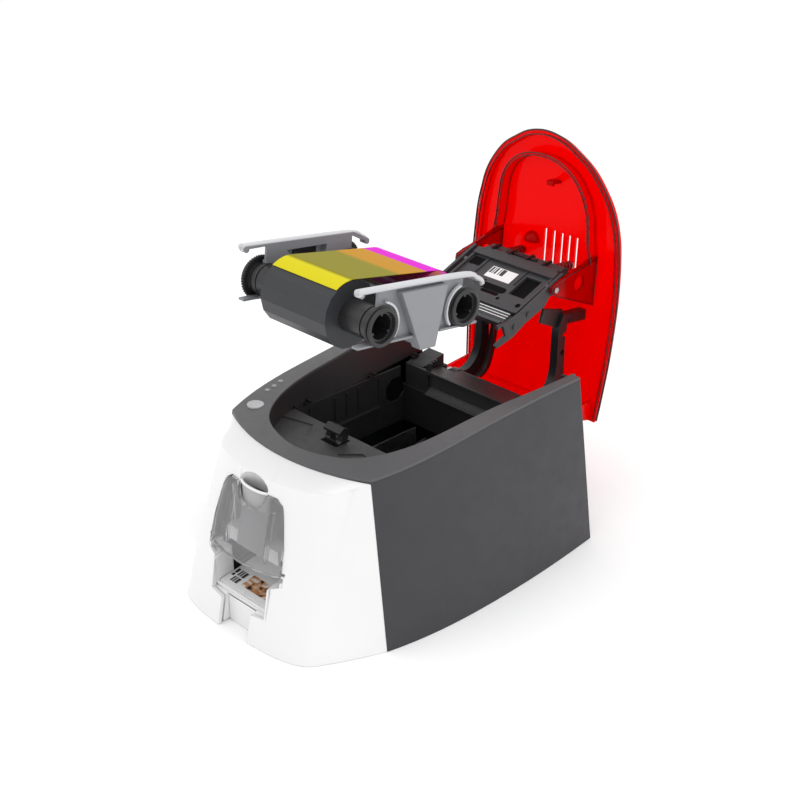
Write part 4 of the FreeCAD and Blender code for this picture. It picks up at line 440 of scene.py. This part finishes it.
def smooth_path(points, steps=5):
    out = []
    last = len(points) - 1
    for i in range(last):
        p0, p1, p2, p3 = (Vector(points[k]) for k in (max(i - 1, 0), i, i + 1, min(i + 2, last)))
        for j in range(steps):
            t = j / steps
            out.append(0.5 * ((2 * p1) + (p2 - p0) * t + (2 * p0 - 5 * p1 + 4 * p2 - p3) * t * t
                              + (3 * p1 - p0 - 3 * p2 + p3) * t ** 3))
    out.append(Vector(points[-1]))
    return out


# Places: each lays x and two measures of an outline, all in mm, into the frame
HINGE = (200.0, 97.0)
LID_TURN = math.radians(-97.5)
HEAD_PLACE = (222.7, 194.5)
HEAD_TILT = math.radians(20.05)
CART_PLACE = (21.8, 225.1)
CART_TILT = math.radians(-6.93)


def turned(x, y, z, place, angle):
    return (x, place[0] + y * math.cos(angle) - z * math.sin(angle),
            place[1] + y * math.sin(angle) + z * math.cos(angle))


def as_is(x, y, z):
    return (x, y, z)


def opened(x, y, z):
    return turned(x, y - HINGE[0], z - HINGE[1], HINGE, LID_TURN)


def on_head(x, s, t):
    return turned(x, -s, t, HEAD_PLACE, HEAD_TILT)


def on_cart(x, y, z):
    return turned(x, y, z, CART_PLACE, CART_TILT)


# Makers of pieces
def add_piece(name, kind, verts, faces, smooth=None):
    body, material, slot = kind
    mesh = bpy.data.meshes.new(name)
    mesh.from_pydata([(x * MM, y * MM, z * MM) for x, y, z in verts], [], faces)
    mesh.validate()
    mesh.update()
    builder = bmesh.new()
    builder.from_mesh(mesh)
    bmesh.ops.recalc_face_normals(builder, faces=builder.faces)
    builder.to_mesh(mesh)
    builder.free()
    obj = bpy.data.objects.new(name, mesh)
    scene.collection.objects.link(obj)
    obj.data.materials.append(material)
    if smooth is not None:
        for face in mesh.polygons:
            face.use_smooth = True
        mesh.set_sharp_from_angle(angle=math.radians(smooth))
    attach(obj, body)
    return obj


def bevel(obj, width, segments=2):
    mod = obj.modifiers.new("edge", "BEVEL")
    mod.width = width * MM
    mod.segments = segments
    mod.limit_method = "ANGLE"


def profile_block(name, kind, outline, low, high, edge=0.3, place=as_is):
    verts = [place(x, a, b) for x in (low, high) for a, b in outline]
    obj = add_piece(name, kind, verts, prism_faces(len(outline)))
    bevel(obj, edge)
    return obj


def side_blocks(name, kind, outline, inner, outer, edge):
    for sign, side in SIDES:
        low, high = sorted((sign * inner, sign * outer))
        profile_block("%s_%s" % (name, side), kind, outline, low, high, edge)


# Each ring of a tube is turned from this direction, along which no path runs
TUBE_LEAN = Vector((0.13, 0.21, 1.0))


def tube(name, kind, path, radius, sides=8):
    verts = []
    points = [Vector(p) for p in path]
    last = len(points) - 1
    for i, point in enumerate(points):
        way = points[min(i + 1, last)] - points[max(i - 1, 0)]
        side = way.cross(TUBE_LEAN).normalized()
        up = side.cross(way).normalized()
        verts += [tuple(point + side * radius * cosine + up * radius * sine)
                  for cosine, sine in circle(sides)]
    return add_piece(name, kind, verts, capped_faces(len(points), sides), 50)


def lathe(name, kind, profile, centre_y, sides=48):
    verts = [on_cart(x, centre_y + r * cosine, r * sine)
             for x, r in profile for cosine, sine in circle(sides)]
    return add_piece(name, kind, verts, grid_faces(len(profile), sides, True, True), 40)


def stand_in(name, new_name, kind, mesh):
    body, material, slot = kind
    obj = bpy.data.objects.new(new_name, mesh)
    scene.collection.objects.link(obj)
    mesh.materials.clear()
    mesh.materials.append(material)
    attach(obj, body)
    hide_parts(name)
    return obj


def adjusted(name, new_name, kind, change, width, segments=2):
    mesh = nodes[name].data.copy()
    for vertex in mesh.vertices:
        vertex.co = Vector(change(*(vertex.co / MM))) * MM
    bevel(stand_in(name, new_name, kind, mesh), width, segments)


# Scooped finger cup over the hopper door
CUP_X = 14.9
CUP_Y = -38.5
CUP_REACH = 15.2
CUP_BOTTOM = 101.0
CUP_COLUMNS = 41
LIP_Z = 107.5
SCOOP_RISE = 9.6
SCOOP_DEPTH = 6.5
SCOOP_BULGE = 0.4
SCOOP_UNDER = 0.3
SCOOP_POWER = 0.8
SCOOP_STEPS = 8
FACE_STEPS = 5
CROWN_STEPS = 6

# Front of the machine: its face leans back from the crown line, and the crown climbs behind that line
CROWN_Z = 117.5
CROWN_CLIMB = 4.9
FACE_LEAN = 8.1 / 27.5
CROWN_START = (-38.5, 2.73, 28.6)
CROWN_END = (-17.0, 3.1, 31.7)
FACE_PROUD = 0.12
CROWN_PROUD = 0.10


def bowed(x, middle, sag, half):
    return middle + sag * (x / half) ** 2


def front_y(x, z):
    return bowed(x, *CROWN_START) - FACE_LEAN * (CROWN_Z - z)


def crown_z(x, y):
    start = bowed(x, *CROWN_START)
    return CROWN_Z + CROWN_CLIMB * max(0.0, (y - start) / (bowed(x, *CROWN_END) - start))


def scoop_line(x, bow):
    line = []
    arch_z = LIP_Z + SCOOP_RISE * bow
    floor_y = CUP_Y + SCOOP_DEPTH * bow
    face_y = front_y(x, arch_z)
    for i in range(SCOOP_STEPS + 1):
        turn = math.pi / 2 * (1 - i / SCOOP_STEPS)
        y = face_y + (floor_y - face_y) * math.sin(turn) + SCOOP_BULGE * bow * math.cos(turn)
        height = arch_z - SCOOP_UNDER * bow - CUP_BOTTOM
        line.append((x, y, CUP_BOTTOM + height * (1 - math.sin(turn)) ** SCOOP_POWER))
    for i in range(FACE_STEPS + 1):
        z = arch_z + (CROWN_Z - arch_z) * i / FACE_STEPS
        line.append((x, front_y(x, z) - FACE_PROUD, z))
    start_y = front_y(x, CROWN_Z)
    end_y = CUP_Y + math.sqrt(CUP_REACH ** 2 - x * x)
    for i in range(1, CROWN_STEPS + 1):
        y = start_y + max(0.0, end_y - start_y) * i / CROWN_STEPS
        line.append((x, y, crown_z(x, y) + CROWN_PROUD))
    return line


scoop = []
for j in range(CUP_COLUMNS):
    share = -1 + 2 * j / (CUP_COLUMNS - 1)
    scoop.append(scoop_line(CUP_X * share, math.sqrt(1 - share * share)))
cup = add_piece("cup_scoop", FRONT, sum(scoop, []), grid_faces(CUP_COLUMNS, len(scoop[0])), 40)
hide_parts("hopper_cup")

# Lip of the cup, a half oval with a section of growth and height and painted grey as painted shade, its
# rounded edge, and the floor under it, painted dark grey as painted shade
LIP_HALF = 14.2
LIP_DEPTH = 5.1
LIP_FOOT = 92.0
LIP_SECTION = ((0, LIP_FOOT), (0, 106.9), (-0.35, LIP_Z), (-1.2, LIP_Z), (-1.6, 106.8), (-1.6, LIP_FOOT))
LIP_TURNS = [math.pi * j / (CUP_COLUMNS - 1) for j in range(CUP_COLUMNS)]
CUP_FLOOR = ((-13, -39), (-8, -42), (0, -43), (8, -42), (13, -39), (9, -33), (0, -30), (-9, -33))


def lip_point(turn, half, depth, z):
    return (-half * math.cos(turn), CUP_Y - depth * math.sin(turn), z)


add_piece("cup_lip", ("base", lip_grey, "white_front"),
          [lip_point(turn, LIP_HALF + grow, LIP_DEPTH + grow, z)
           for turn in LIP_TURNS for grow, z in LIP_SECTION],
          grid_faces(CUP_COLUMNS, len(LIP_SECTION), True), 35)
tube("cup_lip_edge", FRONT,
     [lip_point(turn, LIP_HALF + 0.4, LIP_DEPTH - 0.4, LIP_Z - 0.1) for turn in LIP_TURNS], 1.0, 10)
add_piece("cup_floor", ("base", hole_painted_shade, "white_front"),
          [(x, y, z) for z in (100.0, 98.6) for x, y in CUP_FLOOR], prism_faces(len(CUP_FLOOR)))

# Thick lower corners of the exit, either side of the output tray
EXIT_CORNER = [(-61.6, 0.4), (-54.0, 0.4), (-54.0, 22.6), (-56.6, 22.6), (-57.8, 20.6)]
side_blocks("exit_corner", FRONT, EXIT_CORNER, 15.6, 30.2, 0.6)

# Chute cut off behind the front's face
CHUTE_CUT_Y = -56.4
chute = nodes["exit_chute"].data.copy()
builder = bmesh.new()
builder.from_mesh(chute)
whole = builder.verts[:] + builder.edges[:] + builder.faces[:]
cut = bmesh.ops.bisect_plane(builder, geom=whole, plane_co=(0, CHUTE_CUT_Y * MM, 0), plane_no=(0, -1, 0),
                             clear_outer=True)
bmesh.ops.holes_fill(builder, edges=[e for e in cut["geom_cut"] if isinstance(e, bmesh.types.BMEdge)])
builder.to_mesh(chute)
builder.free()
stand_in("exit_chute", "chute_trimmed", FRONT, chute)

# Front and walls of the exit round the card, and the panel behind the smoked door, painted dark grey as
# painted shade
EXIT_FOOT = 12.0
EXIT_BACK_Y = -55.4
EXIT_HALF = 27.9
EXIT_WALL = [(-61.0, 20.0), (-56.2, 20.0), (-56.2, 45.6), (-56.6, 45.0)]
HOPPER_PANEL = [(-37.0, 103.0), (-36.0, 103.0), (-46.0, 60.0), (-47.0, 60.0)]
card_points = [vertex.co / MM for vertex in nodes["printed_card"].data.vertices]
card_front = min(point.y for point in card_points)
card_under = min(point.z for point in card_points) - 0.3
exit_front = [(card_front + 1.0, EXIT_FOOT), (EXIT_BACK_Y, EXIT_FOOT), (EXIT_BACK_Y, card_under),
              (card_front + 0.6, card_under)]
profile_block("exit_front", FRONT, exit_front, -EXIT_HALF, EXIT_HALF)
profile_block("hopper_panel", ("base", panel_painted_shade, "white_front"), HOPPER_PANEL, -14.0, 14.0)
side_blocks("exit_wall", FRONT, EXIT_WALL, 28.2, 29.8, 0.1)

# Lid edge lines: near-black red tubes along the moulded lid's corners, painted shade where its clear edges
# read dark
LID_RIM = [(-3.0, 123.0), (9.3, 125.1), (30.4, 129.3), (56.3, 134.9), (88.8, 138.5), (120.0, 141.0),
           (165.0, 142.3), (197.0, 143.2), (214.0, 143.4)]
LID_PLAN = [(0, -0.6), (17.0, 2.4), (30.5, 9.6), (42.3, 17.8), (53.1, 30.4), (60.4, 42.4), (65.5, 56.3),
            (68.8, 70.7), (70.8, 88.8), (71.8, 110.0), (71.8, 134.0), (71.0, 165.0), (68.5, 197.0),
            (67.0, 212.0)]
ARCH_PLAN = [(0, 15.0), (18.0, 18.0), (32.0, 27.0), (41.0, 41.0), (45.0, 58.0), (46.5, 74.0), (49.0, 86.0),
             (50.5, 90.0)]
GUSSET = [(86.0, 142.4), (123.4, 145.0), (110.0, 100.0), (106.5, 92.4), (101.5, 92.4), (98.2, 100.0),
          (86.0, 142.4)]


def lid_rim_z(y):
    for (y0, z0), (y1, z1) in zip(LID_RIM, LID_RIM[1:]):
        if y <= y1:
            return z0 + (z1 - z0) * (y - y0) / (y1 - y0)
    return LID_RIM[-1][1]


# Each line lies shifted outward from the plan and above the lid's rim
def edge_lines(half_plan, lines):
    plan = smooth_path([(-x, y, 0) for x, y in half_plan[:0:-1]] + [(x, y, 0) for x, y in half_plan])
    last = len(plan) - 1
    for name, shift, rise, radius in lines:
        path = []
        for i, point in enumerate(plan):
            way = plan[min(i + 1, last)] - plan[max(i - 1, 0)]
            path.append(opened(point.x + way.y / way.length * shift, point.y - way.x / way.length * shift,
                               lid_rim_z(point.y) + rise))
        tube(name, LID_LINE, path, radius)


edge_lines(LID_PLAN, (("lid_line_hem", 1.7, 0.3, 0.75), ("lid_line_lip", -1.5, -0.1, 0.55),
                      ("lid_line_floor", -1.9, 4.2, 0.45)))
# The arch edges and the gusset outlines get the same lines of painted shade
edge_lines(ARCH_PLAN, (("arch_line_edge", 0.0, -5.0, 0.5), ("arch_line_inner", -2.0, -4.9, 0.4),
                       ("arch_line_root", -2.2, 4.2, 0.35)))
gusset_line = straight_path(GUSSET, 6)
for sign, side in SIDES:
    for x, tag in ((46.2, "in"), (48.9, "out")):
        path = [opened(sign * x, y, z) for y, z in gusset_line]
        tube("gusset_line_%s_%s" % (side, tag), LID_LINE, path, 0.35)

# Hinge arms at their full breadth, and the flat cable guide beside the left one
ARM_X = 39.0
ARM_BROADER = 1.75
for sign, side in SIDES:
    middle = sign * ARM_X
    adjusted("hinge_arm_" + side, "hinge_arm_%s_full" % side, ARM,
             lambda x, y, z: (middle + (x - middle) * ARM_BROADER, y, z), 0.7, 3)
guide_line = smooth_path([(0, 203.0, 116.5), (0, 196.5, 124.8), (0, 184.0, 128.4), (0, 165.0, 129.6),
                          (0, 128.0, 130.0)])
guide_outer = [(p.y, p.z) for p in guide_line]
guide_inner = [(y - 1.6, z - 4.2) for y, z in guide_outer[::-1]]
guide_end = guide_outer[4:]
guide_lip = [(y - 0.6, z - 4.0) for y, z in guide_end] + [(y - 1.4, z - 6.0) for y, z in guide_end[::-1]]
profile_block("cable_guide", ARM, guide_outer + guide_inner, -33.6, -28.6, 0.5, opened)
profile_block("cable_guide_lip", ARM, guide_lip, -29.4, -28.0, 0.3, opened)

# Housing, pocket floors and fittings of the print head; the pocket floors are near-black and dark red sheets
# of painted shade
PLATE_TOP = 1.5
PLATE_OVER = 1.52
HOUSING = [(-3.6, -1.0), (-3.6, 3.4), (-7.0, 3.4), (-8.4, 0.8), (-15.0, 0.2), (-17.4, -3.0), (-17.4, -8.0),
           (-3.6, -8.0)]
HOUSING_RIB = [(-6.4, 3.0), (-6.4, 4.6), (-9.0, 3.8), (-16.0, 1.6), (-17.0, -1.0), (-8.4, 0.4)]
HOUSING_BAR = [(-10.0, 0.4), (-10.0, 2.0), (-12.4, 1.8), (-12.4, 0.2)]
RIB_STARTS = (-30.0, -13.0, 4.0, 21.0)
RIB_BREADTH = 2.2
profile_block("head_housing", HEAD, HOUSING, -36.0, 37.0, 0.5, on_head)
for i, low in enumerate(RIB_STARTS):
    profile_block("housing_rib_%d" % i, HEAD_TRIM, HOUSING_RIB, low, low + RIB_BREADTH, 0.3, on_head)
profile_block("housing_bar", HEAD_TRIM, HOUSING_BAR, -18.0, 12.0, 0.3, on_head)
profile_block("pocket_floor_right", HEAD_HOLE, rectangle(7.0, 31.0, -1.6, -0.9), 17.0, 34.0, 0.1, on_head)
profile_block("pocket_floor_slot", ("lid", edge_red_painted_shade, "head_dark"), rectangle(31.0, 38.0, -1.6, -0.9),
              -7.0, 13.0, 0.1, on_head)
profile_block("pocket_left", HEAD_HOLE, rectangle(4.8, 13.6, PLATE_OVER, 1.62), -37.0, -26.0, 0.02, on_head)

# Label and bright strips in their photographed places
LABEL_CORNERS = rectangle(-14.5, 10.5, 8.5, 21.0)
STRIP_FIRST = 48.6
STRIP_STEP = 2.7
STRIP_BREADTH = 0.9
STRIP_TOP = 2.2
label_piece = add_piece("label_plate", ("lid", label, "label"),
                        [on_head(x, s, t) for t in (PLATE_OVER, 1.66) for x, s in LABEL_CORNERS],
                        prism_faces(len(LABEL_CORNERS)))
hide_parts("head_label")
for i in range(3):
    low = STRIP_FIRST + STRIP_STEP * i
    profile_block("bright_strip_%d" % i, ("lid", chrome, "chrome"),
                                rectangle(low, low + STRIP_BREADTH, PLATE_TOP, STRIP_TOP), -36.0, 36.0, 0.15,
                                on_head)
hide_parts("head_strips")
profile_block("strip_bed", HEAD, rectangle(47.2, 56.8, PLATE_TOP, 1.75), -36.2, 36.2, 0.05, on_head)

# Oval slot in the plate, a near-black sheet of painted shade: two half circles apart
SLOT_X = 2.5
SLOT_S = 29.6
SLOT_HALF = 9.0
SLOT_RADIUS = 3.3
oval = [(SLOT_X + math.copysign(SLOT_HALF, cosine) + SLOT_RADIUS * cosine, SLOT_S + SLOT_RADIUS * sine)
        for cosine, sine in circle(24)]
add_piece("plate_slot", HEAD_HOLE, [on_head(x, s, t) for t in (PLATE_OVER, 1.60) for x, s in oval],
          prism_faces(len(oval)))

# Dark window backing of the far bracket, a plate of painted shade behind its window, and the lining of the
# trough
TROUGH = [(171.3, 92.5), (173.6, 92.5), (173.6, 105.6), (171.3, 106.2)]
profile_block("bracket_backing", ("cartridge", core_black, "core_black"), rectangle(28.0, 50.0, 0.0, 16.0),
              -60.1, -59.3, 0.2, on_cart)
profile_block("trough_lining", ("base", recess, "recess_black"), TROUGH, -63.8, 63.8, 0.2)

# Ramp at the left end of the rear deck, and the broader head of the latch
RAMP_X = -44.6
RAMP_OVER_Z = 112.0
RAMP_START = (171.0, 110.4)
RAMP_SLOPE = 3.8 / 24.0
LATCH_OVER_Z = 113.2
LATCH_MIDDLE = (-4.6, 38.2)
LATCH_BROADER = (1.12, 1.45)


def ramped(x, y, z):
    if x < RAMP_X and z > RAMP_OVER_Z:
        z = RAMP_START[1] + RAMP_SLOPE * (y - RAMP_START[0])
    return (x, y, z)


def blocky(x, y, z):
    if z > LATCH_OVER_Z:
        x = LATCH_MIDDLE[0] + (x - LATCH_MIDDLE[0]) * LATCH_BROADER[0]
        y = LATCH_MIDDLE[1] + (y - LATCH_MIDDLE[1]) * LATCH_BROADER[1]
    return (x, y, z)


adjusted("rear_deck", "rear_deck_ramped", ("base", deck_dark, "recess_black"), ramped, 0.6)
adjusted("latch_hook", "latch_block", ("latch_hook", black, "arm_black"), blocky, 0.4)

# Rounded rails along the brackets, painted lighter than the brackets as a painted highlight
rail_line = smooth_path([(0, -19.5, 23.4), (0, -19.9, 25.4), (0, -17.0, 25.6), (0, 30.0, 24.2),
                         (0, 80.0, 22.2), (0, 90.0, 18.8), (0, 95.6, 15.8), (0, 96.6, 13.4)], 4)
for sign, side in SIDES:
    for x, tag in ((56.6, "inner"), (58.2, "outer")):
        path = [on_cart(sign * x, p.y, p.z) for p in rail_line]
        tube("bracket_rail_%s_%s" % (side, tag), RAIL, path, 1.9, 12)

# Collars on the ends of the cores, and the bracket's arcs round them from start to end in degrees; the arcs
# are painted light grey as a painted highlight
SPOOLS = (("supply", 0.0, -35.0, 75.0), ("takeup", 78.7, 105.0, 222.0))
COLLAR = [(57.9, 10.4), (57.9, 13.2), (58.3, 13.9), (59.4, 13.9), (59.8, 13.2), (60.0, 12.4), (60.6, 12.4),
          (60.9, 13.2), (61.3, 13.6), (62.2, 13.6), (62.6, 13.1), (62.6, 10.9), (61.8, 10.4)]
FAR_SHIFT = 2.4
FAR_COLLAR = [(-x - FAR_SHIFT, r) for x, r in COLLAR]
ARC = [(57.6, 15.4), (57.6, 16.9), (59.8, 16.9), (59.8, 15.4)]
ARC_STEPS = 24
for name, centre, start, end in SPOOLS:
    kind = (name + "_spool", core_black, "core_black")
    lathe(name + "_collar", kind, COLLAR, centre)
    lathe(name + "_collar_far", kind, FAR_COLLAR, centre)
for sign, side in SIDES:
    for name, centre, start, end in SPOOLS:
        verts = []
        for j in range(ARC_STEPS + 1):
            angle = math.radians(start + (end - start) * j / ARC_STEPS)
            verts += [on_cart(sign * x, centre + r * math.cos(angle), r * math.sin(angle)) for x, r in ARC]
        add_piece("bracket_arc_%s_%s" % (side, name), RAIL, verts, capped_faces(ARC_STEPS + 1, len(ARC)), 40)

# Small clips along the bay: the middle and the foot of each
CLIP = ((-3.4, 0.0), (3.4, 0.0), (3.4, 1.4), (1.4, 1.4), (1.0, 3.4), (-1.0, 3.4), (-1.2, 1.4), (-3.4, 1.4))
CLIP_PLACES = ((64.9, 110.6), (50.9, 110.6), (131.4, 110.6), (177.7, 112.2))
for i, (middle, foot) in enumerate(CLIP_PLACES):
    profile_block("bay_clip_%d" % i, ("base", black, "arm_black"), [(middle + y, foot + z) for y, z in CLIP],
                  -65.2, -61.8, 0.25)

# Dark void behind the drive opening, a near-black disc of painted shade, and the web of the right arm
VOID_Y = 157.0
VOID_Z = 90.0
VOID_RADIUS = 11.6
ARM_WEB = [(207.5, 163.6), (237.2, 148.9), (233.2, 167.6), (211.1, 174.2)]
void_outline = [(VOID_Y + VOID_RADIUS * cosine, VOID_Z + VOID_RADIUS * sine) for cosine, sine in circle(16)]
profile_block("drive_void", ("base", void_painted_shade, "recess_black"), void_outline, -67.2, -66.4, 0.05)
profile_block("arm_web_right", ARM, ARM_WEB, 36.8, 39.2, 0.4)

# Status lights stand a little proud of the rim: radius and rise of each ring
DOME = ((2.0, -0.1), (1.9, 0.3), (1.3, 0.5), (0.5, 0.55))
DOME_SIDES = 20
DOME_PLACES = ((-73.0, 34.0), (-73.6, 41.0), (-75.2, 48.6))
for i, (x, y) in enumerate(DOME_PLACES):
    top = RIM_Z + RIM_SLOPE * y - y * y / RIM_BEND
    verts = [(x + r * cosine, y + r * sine, top + rise)
             for r, rise in DOME for cosine, sine in circle(DOME_SIDES)]
    add_piece("status_dome_%d" % i, ("base", frost, "lens"), verts, capped_faces(len(DOME), DOME_SIDES), 40)

# Floor, just under the feet
FLOOR_SIZE = 16.0
FLOOR_Z = -0.0002
bpy.ops.mesh.primitive_plane_add(size=FLOOR_SIZE, location=(0, 0.05, FLOOR_Z))
ground = bpy.context.object
ground.name = "floor"
ground_mat, tree, bsdf, coord = new_material("floor_white")
link(tree, mottled(tree, noise(tree, coord, 2.0), grey(0.965), grey(0.98)), bsdf.inputs["Base Color"])
bsdf.inputs["Roughness"].default_value = 0.9
bsdf.inputs["Specular IOR Level"].default_value = 0.1
ground.data.materials.append(ground_mat)

# Camera at the photograph's place: angles in radians, focal length and picture in pixels
AZIMUTH = 0.78976
ELEVATION = 0.46472
FOCAL = 1480.0
PICTURE = 800.0
SENSOR = 36.0
camera_data = bpy.data.cameras.new("camera")
camera_data.sensor_width = SENSOR
camera_data.lens = SENSOR * FOCAL / PICTURE
camera_data.clip_end = 20.0
camera = bpy.data.objects.new("camera", camera_data)
camera.location = (0.68638, -0.58206, 0.60880)
ahead = Vector((-math.sin(AZIMUTH) * math.cos(ELEVATION), math.cos(AZIMUTH) * math.cos(ELEVATION),
                -math.sin(ELEVATION)))
camera.rotation_euler = ahead.to_track_quat("-Z", "Y").to_euler()
scene.collection.objects.link(camera)
scene.camera = camera

# Soft studio light: an even backdrop and three discs
world = bpy.data.worlds.new("studio")
world.use_nodes = True
backdrop = world.node_tree.nodes["Background"]
backdrop.inputs["Color"].default_value = (1, 1, 1, 1)
backdrop.inputs["Strength"].default_value = 1.0
scene.world = world


def area(name, place, target, size, power):
    data = bpy.data.lights.new(name, "AREA")
    data.shape = "DISK"
    data.size = size
    data.energy = power
    obj = bpy.data.objects.new(name, data)
    obj.location = place
    obj.rotation_euler = (Vector(target) - Vector(place)).to_track_quat("-Z", "Y").to_euler()
    scene.collection.objects.link(obj)


area("key", (-0.5, -0.9, 1.2), (0, 0.06, 0.1), 0.9, 1.9)
area("top", (0.1, 0.3, 1.5), (0, 0.08, 0.1), 1.2, 4.5)
area("side", (1.3, 0.2, 0.7), (0, 0.08, 0.1), 0.9, 2.0)

scene.view_settings.view_transform = "Standard"
scene.view_settings.look = "None"
scene.view_settings.exposure = 0.0
